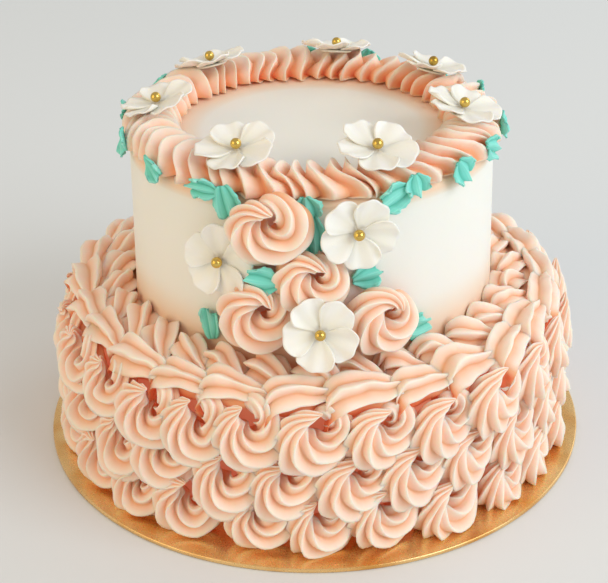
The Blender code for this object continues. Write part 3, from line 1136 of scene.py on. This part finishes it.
@dataclass(frozen=True)
class SwirlRow:
    """One row of swirls: how many, and the eyes seen at the front.

    Each front eye is an azimuth and a height above the board in millimetres.
    The others may stray by stray_turn degrees and stray_rise millimetres.
    """

    name: str
    count: int
    lean: float
    eyes: tuple[tuple[float, float], ...]
    stray_turn: float = 1
    stray_rise: float = 2

    def places(self, reach: float, board: float, draw: random.Random) -> list[Vector]:
        """Give the guide points of the row.

        Args:
            reach: How far from the axis the swirls sit.
            board: The height of the board's top.
            draw: Where the small differences at the back come from.

        Returns:
            The place of each swirl's eye on the wall.
        """
        spots = list(self.eyes)
        first, last = self.eyes[0][0], self.eyes[-1][0]
        rest = self.count - len(self.eyes)
        step = (360 - (last - first)) / (rest + 1)
        middle = sum(rise for _, rise in self.eyes) / len(self.eyes)
        for i in range(rest):
            azimuth = last + (i + 1) * step + draw.uniform(-self.stray_turn, self.stray_turn)
            spots.append((azimuth, middle + draw.uniform(-self.stray_rise, self.stray_rise)))
        return [wall_frame(azimuth, reach, board + rise * MM).translation for azimuth, rise in spots]


SWIRL_ROWS = (
    SwirlRow(
        "bottom_swirls",
        25,
        -1,
        (
            (-42.4, 16.0), (-28.4, 18.5), (-12.2, 19.0), (0.8, 18.0),
            (14.3, 20.0), (29.8, 17.0), (46.3, 15.0),
        ),
    ),
    SwirlRow(
        "middle_swirls",
        26,
        -4,
        (
            (-46.9, 35.0), (-33.1, 40.0), (-18.7, 36.5), (-6.0, 37.0),
            (8.8, 37.0), (21.5, 38.5), (35.5, 38.0),
        ),
    ),
    SwirlRow(
        "top_swirls",
        26,
        -4,
        (
            (-51.3, 60.5), (-36.8, 58.5), (-25.5, 59.0), (-13.8, 61.5),
            (0.5, 60.0), (14.4, 59.0), (28.6, 57.5),
        ),
    ),
)


@dataclass(frozen=True)
class ShellRing:
    """A ring of shells on the ledge, each straying a little round it and across it."""

    name: str
    count: int
    start: float
    reach: float
    turn: float
    dab: PulledDab
    stray_turn: float = 1.2
    stray_reach: float = 1 * MM

    def places(self, height: float, draw: random.Random) -> list[Vector]:
        """Give the guide points of the ring.

        Args:
            height: The height of the ledge.
            draw: Where the small differences come from.

        Returns:
            The place of each shell.
        """
        spots = []
        for i in range(self.count):
            azimuth = self.start + i * 360 / self.count + draw.uniform(-self.stray_turn, self.stray_turn)
            reach = self.reach + draw.uniform(-self.stray_reach, self.stray_reach)
            spots.append(wall_frame(azimuth, reach, height).translation)
        return spots


SHELL_RINGS = (
    ShellRing("outer_shells", 26, -18.0, 102.0 * MM, -3.0, OUTER_SHELL),
    ShellRing("inner_shells", 31, -12.0, 90.5 * MM, -34.0, INNER_SHELL),
)


@dataclass(frozen=True)
class Looseness:
    """How far the dabs of one ring differ, and how uneven their icing is.

    Each may turn by spread degrees either way and be scaled from smallest to
    largest. Its points move by up to amount, in waves as long as size.
    """

    spread: float
    smallest: float
    largest: float
    amount: float
    size: float


@dataclass
class LowerTier:
    """The lower tier: a base coat, three rows of swirls and two rings of shells."""

    groups: Groups
    piping: Piping
    core_radius: float = 103 * MM
    ledge_height: float = 64 * MM
    kinds: int = 6
    sides: int = 160
    edge: float = 2.5 * MM
    edge_steps: int = 5
    swirls_loose: Looseness = Looseness(13, 1.03, 1.15, 0.9 * MM, 9 * MM)
    shells_loose: Looseness = Looseness(9, 0.9, 1.06, 1.3 * MM, 8 * MM)

    def build(self) -> None:
        """Make the tier's pieces and dress them."""
        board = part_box("board")[1].z
        ledge = board + self.ledge_height
        peach = PEACH_BUTTERCREAM.material(self.groups)
        self.base_coat(board, ledge)
        draw = random.Random(SEED)
        for i, row in enumerate(SWIRL_ROWS):
            dabs = [SIDE_SWIRL.mesh(f"{row.name}_{kind}", draw) for kind in range(self.kinds)]
            places = row.places(self.core_radius, board, draw)
            inputs = {"Lean": math.radians(row.lean), "Seed": SEED + i}
            mesh = self.pipe(row.name, places, dabs, peach, self.swirls_loose, inputs)
            rest_on(mesh, board)
            finish_piece(row.name, mesh, peach, PEACH_SLOT, "lower_tier")
        for i, ring in enumerate(SHELL_RINGS):
            dabs = [ring.dab.mesh(f"{ring.name}_{kind}", draw) for kind in range(self.kinds)]
            places = ring.places(ledge, draw)
            inputs = {"Lean": -math.pi / 2, "Turn": math.radians(ring.turn), "Seed": 3 * SEED + i}
            mesh = self.pipe(ring.name, places, dabs, peach, self.shells_loose, inputs)
            finish_piece(ring.name, mesh, peach, PEACH_SLOT, "lower_tier")

    def pipe(
        self,
        name: str,
        places: Sequence[Vector],
        dabs: Sequence[Mesh],
        icing: Material,
        loose: Looseness,
        inputs: dict[str, float],
    ) -> Mesh:
        """Pipe one ring of dabs and loosen it.

        Args:
            name: The ring's name.
            places: The guide points.
            dabs: The kinds of dab to pick from.
            icing: The material.
            loose: How far the dabs differ.
            inputs: The tree's other inputs.

        Returns:
            The ring as one mesh.
        """
        spread = {"Turn spread": math.radians(loose.spread)}
        sizes = {"Smallest": loose.smallest, "Largest": loose.largest}
        mesh = self.piping.mesh(name, places, dabs, icing, {**spread, **sizes, **inputs})
        loosen(mesh, loose.amount, loose.size)
        return mesh

    def base_coat(self, board: float, ledge: float) -> None:
        """Make the coral coat that shows between the dabs, with the gaps' painted deep shade and painted
        glow all over.
        """
        profile = [(0.0, ledge), (HUB, ledge)]
        profile += rounded(self.core_radius, ledge, self.edge, self.edge_steps)
        profile += [(self.core_radius, board + 0.5 * (ledge - board)), (self.core_radius, board)]
        profile += [(HUB, board), (0.0, board)]
        mesh = turned("base_coat", profile, self.sides)
        # Every point counts as a gap, so the whole coat gets the painted glow.
        mesh.attributes["hollow"].data.foreach_set("value", [PAINTED_GAP_HOLLOW] * len(mesh.vertices))
        finish_piece("base_coat", mesh, BASE_COAT.material(self.groups), PEACH_SLOT, "lower_tier")


def loosen(mesh: Mesh, amount: float, size: float) -> None:
    """Move the points of a mesh a little, as icing is never quite even.

    Args:
        mesh: The mesh, changed in place.
        amount: The furthest that a point moves.
        size: How far apart the unevenness changes.
    """
    noise.seed_set(SEED)
    for vertex in mesh.vertices:
        vertex.co += amount * noise.noise_vector(vertex.co / size)
    mesh.update()


def rest_on(mesh: Mesh, height: float, soft: float = 1.2 * MM, far: float = 20) -> None:
    """Flatten what would sink below a height, as soft icing does on a board.

    Args:
        mesh: The mesh, changed in place.
        height: The height that nothing sinks below.
        soft: How gently it flattens.
        far: How many times soft above the height nothing moves.
    """
    points = np.zeros(len(mesh.vertices) * 3)
    mesh.vertices.foreach_get("co", points)
    points = points.reshape(-1, 3)
    over = (points[:, 2] - height) / soft
    pressed = np.log1p(np.exp(np.minimum(over, far)))
    points[:, 2] = height + soft * np.where(over > far, over, pressed)
    mesh.vertices.foreach_set("co", points.ravel())
    mesh.update()


@dataclass
class UpperTier:
    """The smooth cream upper tier, a little uneven from the palette knife.

    The peach of the piping is painted on as light and shade: a painted glow of
    light bounced off the shells up to warm_foot above its foot, and painted
    shade beside the rope up to warm_rim below its top, where it starts at the
    first reach of warm_top and is full after the second.
    """

    groups: Groups
    base_radius: float = 82.3 * MM
    top_radius: float = 80.6 * MM
    edge: float = 3 * MM
    sides: int = 256
    top_rings: tuple[float, ...] = (0.04, 0.3, 0.5, 0.6, 0.7, 0.78, 0.86, 0.93)
    edge_steps: int = 6
    wall_steps: int = 24
    warm_foot: float = 32 * MM
    warm_rim: float = 7 * MM
    warm_top: tuple[float, float] = (45 * MM, 13 * MM)
    knife: float = 0.12 * MM

    def build(self) -> None:
        """Make the tier and dress it."""
        low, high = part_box("upper_tier")
        profile = [(0.0, high.z)]
        profile += [(share * self.top_radius, high.z) for share in self.top_rings]
        profile += rounded(self.top_radius, high.z, self.edge, self.edge_steps)
        for i in range(1, self.wall_steps + 1):
            share = i / self.wall_steps
            radius = self.top_radius + (self.base_radius - self.top_radius) * share
            profile.append((radius, high.z - self.edge - (high.z - self.edge - low.z) * share))
        profile += [(0.5 * self.base_radius, low.z), (HUB, low.z), (0.0, low.z)]
        mesh = turned("cream_tier", profile, self.sides, self.uneven)
        self.painted_light_and_shade(mesh, low.z, high.z)
        finish_piece("cream_tier", mesh, CREAM_ICING.material(self.groups), "cream_icing", "upper_tier")

    def painted_light_and_shade(self, mesh: Mesh, low: float, high: float) -> None:
        """Paint peach light and shade on the icing beside the piping at its foot and rim.

        Args:
            mesh: The tier, whose hollow values are set.
            low: The height of its foot.
            high: The height of its top.
        """
        values = []
        start, width = self.warm_top
        for vertex in mesh.vertices:
            reach = math.hypot(vertex.co.x, vertex.co.y)
            # Painted peach bounce light at the foot, and painted shade beside the rope at the rim.
            foot = max(0.0, 1 - (vertex.co.z - low) / self.warm_foot)
            rim = max(0.0, 1 - (high - vertex.co.z) / self.warm_rim) * max(0.0, (reach - start) / width)
            values.append(foot**1.5 + 0.5 * min(rim, 1.0) ** 2)
        mesh.attributes["hollow"].data.foreach_set("value", values)

    def uneven(self, angle: np.ndarray, height: np.ndarray) -> np.ndarray:
        """Give the small waves that the knife leaves, inward only."""
        rise = height / (40 * MM)
        broad = np.sin(5 * angle + 1.2 * rise)
        small = 0.6 * np.sin(11 * angle - 2.1 * rise)
        return self.knife * (broad + small + 0.4 * np.sin(23 * angle) - 2)


@dataclass
class RopeBorder:
    """The rope border round the top edge of the upper tier.

    It is one ring of icing cut into tall curved blades, as overlapping pulls of
    a star tip leave it. sweep moves a blade along the ring, in millimetres, at
    its inner end, in its middle and at its outer end. A blade's long face takes
    up face of its step, and groove is how deep the cut after it is. The sizes,
    depths, widths and slants of the blades are drawn between the given shares.
    """

    groups: Groups
    blades: int = 56
    steps: int = 12
    around: int = 40
    reach: float = 70.6 * MM
    half_width: float = 14.1 * MM
    tall: float = 11.4 * MM
    foot: float = 1.2 * MM
    groove: float = 0.54
    face: float = 0.7
    sweep: tuple[float, float, float] = (2.5, -2.6, 7.5)
    sizes: tuple[float, float] = (0.84, 1.0)
    depths: tuple[float, float] = (0.75, 1.25)
    widths: tuple[float, float] = (0.6, 1.4)
    slants: tuple[float, float] = (0.6, 1.4)
    flank: float = 1.15
    cut: float = 0.9
    outer_cut: float = 0.3
    squareness: tuple[float, float] = (0.85, 0.8)
    # Painted shade at the rope's foot, outer and inner, and in the cuts between the blades.
    painted_foot_shade: tuple[float, float] = (0.25, 0.6)
    painted_cut_shade: float = 1.15
    loose: tuple[float, float] = (0.9 * MM, 7 * MM)

    def build(self) -> None:
        """Pipe the border and dress it."""
        draw = random.Random(SEED + 1)
        sizes, depths, widths, slants = (
            np.array([draw.uniform(*limits) for _ in range(self.blades)])
            for limits in (self.sizes, self.depths, self.widths, self.slants)
        )
        edges = np.concatenate([[0.0], np.cumsum(widths) / widths.sum()])
        station = np.arange(self.blades * self.steps)
        blade = station // self.steps
        share = (station % self.steps) / self.steps
        azimuth = math.tau * (edges[blade] + share * (edges[blade + 1] - edges[blade]))
        falling = (np.minimum(share, self.face) / self.face) ** self.flank
        rising = np.clip((share - self.face) / (1 - self.face), 0, 1)
        hollow = np.where(share < self.face, falling, (1 - rising) ** self.cut)[:, None]
        after = (blade + 1) % self.blades
        size, depth, slant = (
            (drawn[blade] * (1 - rising) + drawn[after] * rising)[:, None]
            for drawn in (sizes, depths, slants)
        )
        section = (np.arange(self.around) * math.tau / self.around)[None, :]
        out = np.sign(np.cos(section)) * np.abs(np.cos(section)) ** self.squareness[0]
        top = np.maximum(np.sin(section), 0) ** self.squareness[1]
        under = np.minimum(np.sin(section), 0)
        kept = 1 - self.groove * depth * hollow * (1 - self.outer_cut * np.clip(out, 0, 1) ** 3)
        reach = self.reach + self.half_width * out * size * kept
        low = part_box("rim_border")[0].z
        height = low + (self.tall * top * size * kept) + self.foot * (1 + under)
        angle = azimuth[:, None] + slant * self.path(0.5 * (out + 1)) * MM / self.reach
        rings = np.stack([reach * np.sin(angle), -reach * np.cos(angle), height], axis=2)
        # Painted shade at the rope's foot, more on its inner side, and in the cuts between the blades.
        painted_low_shade = (1 - top) * np.where(out > 0, *self.painted_foot_shade)
        hollow = np.broadcast_to(self.painted_cut_shade * hollow + painted_low_shade, reach.shape)
        mesh = closed_tube("rope_border", rings, hollow, joined=True)
        loosen(mesh, *self.loose)
        peach = PEACH_BUTTERCREAM.material(self.groups)
        finish_piece("rope_border", mesh, peach, PEACH_SLOT, "rim_border")

    def path(self, across: np.ndarray) -> np.ndarray:
        """Give how far a blade is swept at shares of the way from its inner to its outer end."""
        inner, middle, outer = self.sweep
        bend = 2 * (inner + outer - 2 * middle)
        return inner + (outer - inner - bend) * across + bend * across**2


@dataclass
class CascadeSwirls:
    """The four swirls that fall down the front of the upper tier.

    Each is an azimuth, a height, a reach, a lean, a turn and a size, in degrees
    and millimetres.
    """

    groups: Groups
    spots: tuple[tuple[float, float, float, float, float, float], ...] = (
        (-11.5, 144.5, 83.5, 6, 0, 0.97),
        (0.2, 119.6, 82.2, 0, -28, 0.9),
        (-13.6, 103.8, 82.2, 0, -36, 0.98),
        (19.6, 99.5, 82.2, 0, -44, 0.94),
    )
    loose: tuple[float, float] = (0.8 * MM, 9 * MM)

    def build(self) -> None:
        """Pipe the swirls and dress them."""
        peach = PEACH_BUTTERCREAM.material(self.groups)
        draw = random.Random(SEED + 2)
        for i, (azimuth, height, reach, lean, turn, size) in enumerate(self.spots, 1):
            name = f"front_swirl_{i}"
            mesh = CASCADE_SWIRL.mesh(name, draw)
            place = wall_frame(azimuth, reach * MM, height * MM, lean, turn)
            mesh.transform(place @ Matrix.Scale(size, 4))
            loosen(mesh, *self.loose)
            finish_piece(name, mesh, peach, PEACH_SLOT, f"cascade_swirl_{i}")


@dataclass(frozen=True)
class Flower:
    """A flower of five broad ruffled petals, each lying over the next.

    A petal starts at a share inner of its length and is cup high at its edge,
    where one side lies lap higher than its middle. ruffle and crease are the
    heights of its waves, corner and notch how far its edge is rounded and
    scalloped, and taper how much thinner it is there. The mound's rings are
    shares of the radius and of the stalk below, or millimetres above.
    """

    radius: float
    stalk: float
    petals: int = 5
    cup: float = 2.4 * MM
    half_angle: float = 45.0
    rows: int = 20
    columns: int = 25
    thickness: float = 1.1 * MM
    taper: float = 0.45
    stray: float = 0.05
    sizes: tuple[float, float] = (0.93, 1.0)
    inner: float = 0.06
    corner: float = 0.26
    notch: float = 0.015
    waist: float = 0.86
    lap: float = 1.5 * MM
    ruffle: float = 0.55 * MM
    crease: float = 0.09 * MM
    mound_sides: int = 24

    def mesh(self, name: str, draw: random.Random) -> Mesh:
        """Pipe the flower.

        Args:
            name: The mesh's name.
            draw: Where the small differences come from.

        Returns:
            The mesh, with its middle at the origin and Z outward.
        """
        points, faces, hollows = self.mound()
        for i in range(self.petals):
            angle = math.tau * (i + 0.4) / self.petals + draw.uniform(-self.stray, self.stray)
            face, hollow = self.petal(angle, draw)
            thick = self.thickness * (1.0 - self.taper * np.linspace(0, 1, self.rows)[:, None] ** 2)
            more, sheets, depth = thick_sheet(face, np.broadcast_to(thick, hollow.shape), hollow)
            start = len(points)
            faces += [tuple(k + start for k in sheet) for sheet in sheets]
            points = np.vstack([points, more])
            hollows = np.concatenate([hollows, depth])
        return mesh_of(name, points, faces, hollows)

    def petal(self, angle: float, draw: random.Random) -> tuple[np.ndarray, np.ndarray]:
        """Shape the front of one petal.

        Args:
            angle: Where the petal's middle points, in radians.
            draw: Where the small differences come from.

        Returns:
            Its front points as a grid, and how hollow each is.
        """
        out = np.linspace(self.inner, 1, self.rows)[:, None]
        across = np.linspace(-1, 1, self.columns)[None, :]
        size = self.radius * draw.uniform(*self.sizes)
        phase = draw.uniform(0, math.tau)
        rounding = 1 - self.corner * np.abs(across) ** 4 * out
        notch = self.notch * np.cos(3 * math.pi * across + phase)
        reach = size * out * (rounding + notch * out)
        spread = math.radians(self.half_angle) * (self.waist + (1 - self.waist) * np.sin(math.pi * out))
        turn = angle + across * spread
        height = self.cup * (out**1.6) + self.lap * across * out
        height = height + self.ruffle * out**2 * np.sin(2.4 * math.pi * across + phase)
        creases = np.cos(4.5 * math.pi * across + phase) * out * (1 - 0.7 * out)
        height = height + self.crease * creases
        # Painted shade in the petal's cupped middle, along its creases and on its low side, which lies
        # under its neighbour.
        painted_middle_shade = 0.4 * (1 - out) ** 2
        painted_crease_shade = 0.06 * (1 - creases) * (1 - out)
        painted_lap_shade = 0.25 * np.clip(-across - 0.55, 0, 1)
        hollow = painted_middle_shade + painted_crease_shade + painted_lap_shade
        face = np.stack([reach * np.cos(turn), reach * np.sin(turn), height + 0 * reach], axis=2)
        return face, np.broadcast_to(hollow, reach.shape)

    def mound(self) -> tuple[np.ndarray, list[tuple[int, ...]], np.ndarray]:
        """Make the small mound of icing that the flower stands on.

        Returns:
            Its points, faces and hollow values.
        """
        sides = self.mound_sides
        profile = ((0.40, -self.stalk), (0.46, -0.5 * self.stalk), (0.42, -1.2 * MM), (0.20, 0.1 * MM))
        rings = []
        for share, height in profile:
            for j in range(sides):
                angle = math.tau * j / sides
                reach = share * self.radius
                rings.append((reach * math.cos(angle), reach * math.sin(angle), height))
        faces: list[tuple[int, ...]] = []
        for i in range(len(profile) - 1):
            for j in range(sides):
                k = (j + 1) % sides
                faces.append((i * sides + j, i * sides + k, (i + 1) * sides + k, (i + 1) * sides + j))
        faces.append(tuple(reversed(range(sides))))
        faces.append(tuple(range((len(profile) - 1) * sides, len(profile) * sides)))
        # The mound under the petals takes a middling painted shade.
        return np.array(rings), faces, np.full(len(rings), 0.5)


@dataclass
class Flowers:
    """Seven flowers on the rim and three on the wall, each with a gold bead.

    Each on the wall is an azimuth, a height, a reach and a lean, in degrees and
    millimetres.
    """

    groups: Groups
    piping: Piping
    rim_azimuths: tuple[float, ...] = (-85, -136, 169, 123, 75, 22.5, -27)
    rim_ring: float = 67 * MM
    rim_height: float = 161.3 * MM
    rim_radius: float = 17 * MM
    rim_stalk: float = 2 * MM
    rim_lean: float = -74
    turn: float = 29
    wall: tuple[tuple[float, float, float, float], ...] = (
        (10.7, 138.0, 91.5, 2),
        (-25.4, 121.5, 88.5, -5),
        (1.1, 97.0, 97.5, -14),
    )
    wall_radius: float = 16 * MM
    bead_radius: float = 2.3 * MM
    bead_rise: float = 2.7 * MM
    bead_sides: int = 28
    bead_rings: int = 16
    smallest_bead: float = 0.98

    def frames(self) -> list[tuple[Matrix, Flower]]:
        """Give each flower with its frame."""
        plans = []
        for i, azimuth in enumerate(self.rim_azimuths):
            place = wall_frame(azimuth, self.rim_ring, self.rim_height, self.rim_lean, self.turn * i)
            plans.append((place, Flower(self.rim_radius, self.rim_stalk)))
        wall_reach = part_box("upper_tier")[1].x
        for i, (azimuth, height, reach, lean) in enumerate(self.wall, 1):
            place = wall_frame(azimuth, reach * MM, height * MM, lean, self.turn * i)
            plans.append((place, Flower(self.wall_radius, reach * MM - wall_reach)))
        return plans

    def build(self) -> None:
        """Pipe the flowers, set their beads and dress them."""
        icing = PETAL_ICING.material(self.groups)
        draw = random.Random(SEED + 3)
        plans = self.frames()
        for i, (place, flower) in enumerate(plans, 1):
            name = f"petals_{i}"
            mesh = flower.mesh(name, draw)
            mesh.transform(place)
            finish_piece(name, mesh, icing, "white_petal", f"flower_{i}")
        gold = BEAD_COAT.material(self.groups)
        places = [place @ Vector((0, 0, self.bead_rise)) for place, _ in plans]
        inputs = {"Smallest": self.smallest_bead, "Largest": 1.0, "Seed": SEED}
        mesh = self.piping.mesh("beads", places, [self.bead()], gold, inputs)
        nodes = [f"bead_{i}" for i in range(1, len(plans) + 1)]
        finish_piece("beads", mesh, gold, "gold_bead", *nodes)

    def bead(self) -> Mesh:
        """Make one round bead."""
        profile = []
        for i in range(self.bead_rings + 1):
            angle = math.pi * i / self.bead_rings
            profile.append((self.bead_radius * math.sin(angle), self.bead_radius * math.cos(angle)))
        return turned("bead", profile, self.bead_sides)


def zigzag(values: np.ndarray) -> np.ndarray:
    """Fold values to and fro between 1 at whole numbers and 0 halfway between them."""
    return np.abs(values % 1 - 0.5) * 2


@dataclass(frozen=True)
class Leaf:
    """A small piped leaf: a folded fan with fine lines along it and a torn, pointed edge.

    The edge stands at a share end of the length and is drawn out by lobe and
    tear and back by point. fold, line and wave are the heights of its relief.
    """

    length: float
    width: float
    rows: int = 18
    columns: int = 37
    thickness: float = 1.0 * MM
    folds: float = 1.1
    end: float = 0.84
    lobe: float = 0.12
    tear: float = 0.02
    point: float = 0.30
    fold: float = 2.6 * MM
    line: float = 0.05 * MM
    wave: float = 0.8 * MM

    def mesh(self, name: str, draw: random.Random) -> Mesh:
        """Pipe the leaf.

        Args:
            name: The mesh's name.
            draw: Where the small differences come from.

        Returns:
            The mesh, along X with its face to Z.
        """
        along = np.linspace(0, 1, self.rows)[:, None]
        across = np.linspace(-1, 1, self.columns)[None, :]
        shift = draw.uniform(0, 1)
        lobe = zigzag(1.5 * across + shift)
        torn = zigzag(3.5 * across + 3 * shift)
        end = self.end + self.lobe * lobe + self.tear * torn - self.point * np.abs(across) ** 2
        nick = zigzag(3.2 * along + 2 * shift)
        wide = 0.30 + 0.78 * np.sin(0.5 * math.pi * np.minimum(along * 1.25, 1.0)) - 0.22 * along**3
        x = (along * end - 0.45) * self.length
        y = 0.5 * self.width * across * wide * (1 + 0.10 * (nick - 0.5) * np.abs(across) ** 2)
        fold = zigzag(self.folds * across + shift)
        lines = zigzag(6 * across + shift)
        lift = 0.2 + 0.8 * along
        waves = self.wave * np.sin(5 * along + 7 * shift) * across
        z = self.fold * fold * lift + self.line * lines + waves
        # Painted shade in the folds, along the fine lines and towards the leaf's narrow base, and a
        # painted highlight on the fold ridges.
        hollow = 0.7 * (1 - fold) ** 3 + 0.15 * (1 - lines) + 0.2 * (1 - along)
        face = np.stack([x, y, z], axis=2)
        thick = np.full(hollow.shape, self.thickness)
        points, faces, depth = thick_sheet(face, thick, hollow)
        return mesh_of(name, points, faces, depth)


@dataclass
class Leaves:
    """The small leaves under the rim and among the front decorations.

    Each is an azimuth, a height, a reach, the way that it points (0 is right,
    90 is up), a length and a width, in degrees and millimetres.
    """

    groups: Groups
    spots: tuple[tuple[float, float, float, float, float, float], ...] = (
        (-51.0, 150.6, 84.4, -30, 14, 8),
        (-31.5, 149.4, 83.9, 178, 15, 9),
        (-24.4, 145.6, 83.8, -72, 15, 13),
        (-1.4, 146.0, 83.8, -75, 10, 12),
        (22.6, 147.4, 83.8, 205, 15, 13),
        (29.2, 150.6, 84.0, -80, 10, 12),
        (46.5, 149.6, 83.9, -60, 12, 13),
        (63.5, 150.8, 83.9, -30, 13, 11),
        (84.0, 150.5, 83.9, -120, 12, 10),
        (112.0, 150.5, 83.9, -50, 13, 11),
        (133.0, 150.0, 83.9, 200, 14, 11),
        (160.0, 150.5, 83.9, -80, 12, 12),
        (180.0, 151.0, 83.9, -20, 12, 9),
        (-147.0, 150.5, 83.9, -140, 13, 10),
        (-124.0, 150.0, 83.9, -30, 14, 11),
        (-97.0, 151.0, 83.9, 200, 13, 10),
        (-74.0, 150.5, 83.9, -60, 13, 10),
        (-0.4, 133.4, 83.2, -88, 19, 10),
        (-13.0, 117.2, 91.6, 172, 15, 13),
        (-31.6, 87.5, 83.4, 95, 16, 10),
        (14.6, 113.8, 83.0, 14, 13, 12),
        (31.0, 84.6, 83.4, 10, 13, 13),
    )

    def build(self) -> None:
        """Pipe the leaves and dress them."""
        icing = LEAF_ICING.material(self.groups)
        draw = random.Random(SEED + 4)
        for i, (azimuth, height, reach, points, length, width) in enumerate(self.spots, 1):
            name = f"leaf_icing_{i:02d}"
            mesh = Leaf(length * MM, width * MM).mesh(name, draw)
            mesh.transform(wall_frame(azimuth, reach * MM, height * MM, turn=points))
            finish_piece(name, mesh, icing, "leaf_icing", f"leaf_{i:02d}")


@dataclass
class Studio:
    """The pale floor, the soft light and the camera.

    Each lamp is a name, a place, a side, a power in watts and a colour in
    linear light. The camera is at a distance in front of the axis and a little
    aside, pitched down and rolled by degrees.
    """

    distance: float = 0.582
    aside: float = -0.0043
    height: float = 0.3757
    pitch: float = 28.17
    roll: float = -0.79
    lens: float = 82.97
    nearest: float = 0.01
    lamps: tuple[tuple[str, Place, float, float, Colour], ...] = (
        ("key", (2.3, -1.5, 1.7), 2.2, 54.0, (0.93, 0.975, 1.0)),
        ("window", (1.9, 1.5, 1.3), 1.6, 11.0, (0.92, 0.97, 1.0)),
        ("fill", (-2.0, -1.2, 1.0), 1.8, 17.0, (1.0, 0.68, 0.28)),
    )
    aim: Place = (0.0, 0.0, 0.07)
    room_colour: Colour = (246, 242, 235)
    room_strength: float = 0.62
    floor_colour: Colour = (226, 231, 235)
    floor_size: float = 3.0
    floor_drop: float = 0.2 * MM

    def build(self) -> None:
        """Make the surroundings."""
        self.floor()
        for lamp in self.lamps:
            self.light(*lamp)
        world = bpy.data.worlds.new("room")
        world.use_nodes = True
        background = world.node_tree.nodes["Background"]
        background.inputs["Color"].default_value = linear(self.room_colour)
        background.inputs["Strength"].default_value = self.room_strength
        bpy.context.scene.world = world
        bpy.context.scene.view_settings.view_transform = "Standard"
        self.camera()

    def floor(self) -> None:
        """Make the plain pale floor."""
        size = self.floor_size
        points = np.array([(-size, -size, 0), (size, -size, 0), (size, size, 0), (-size, size, 0)])
        mesh = mesh_of("floor", points, [(0, 1, 2, 3)])
        pale, wiring = new_material("pale_floor", self.floor_colour)
        look = {"Base Color": linear(self.floor_colour), "Roughness": 0.8}
        wiring.feed_all(pale.node_tree.nodes["Principled BSDF"], look)
        floor = piece_of("floor", mesh, pale)
        floor.location.z = -self.floor_drop

    def light(self, name: str, place: Place, size: float, power: float, colour: Colour) -> None:
        """Add a soft square light that faces the cake.

        Args:
            name: The light's name.
            place: Where it stands.
            size: Its side.
            power: Its power in watts.
            colour: Linear red, green and blue from 0 to 1.
        """
        data = bpy.data.lights.new(name, "AREA")
        data.size = size
        data.energy = power
        data.color = colour
        lamp = bpy.data.objects.new(name, data)
        lamp.location = place
        aim = Vector(self.aim) - Vector(place)
        lamp.rotation_euler = aim.to_track_quat("-Z", "Y").to_euler()
        bpy.context.scene.collection.objects.link(lamp)

    def camera(self) -> None:
        """Set the camera at the photo's viewing angle."""
        data = bpy.data.cameras.new("camera")
        data.lens = self.lens
        data.clip_start = self.nearest
        camera = bpy.data.objects.new("camera", data)
        tilt = Matrix.Rotation(math.radians(90 - self.pitch), 4, "X")
        roll = Matrix.Rotation(math.radians(self.roll), 4, "Z")
        place = Matrix.Translation((self.aside, -self.distance, self.height))
        camera.matrix_world = place @ tilt @ roll
        bpy.context.scene.collection.objects.link(camera)
        bpy.context.scene.camera = camera


def write_sizes() -> None:
    """Update the view layer."""
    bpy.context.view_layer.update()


def main() -> None:
    """Build the cake from the board up, then its surroundings."""
    logging.basicConfig(level=logging.INFO, format="%(name)s %(message)s")
    groups = Groups()
    piping = Piping()
    CakeBoard(groups).build()
    LowerTier(groups, piping).build()
    UpperTier(groups).build()
    RopeBorder(groups).build()
    CascadeSwirls(groups).build()
    Flowers(groups, piping).build()
    Leaves(groups).build()
    Studio().build()
    write_sizes()


if __name__ == "__main__":
    main()
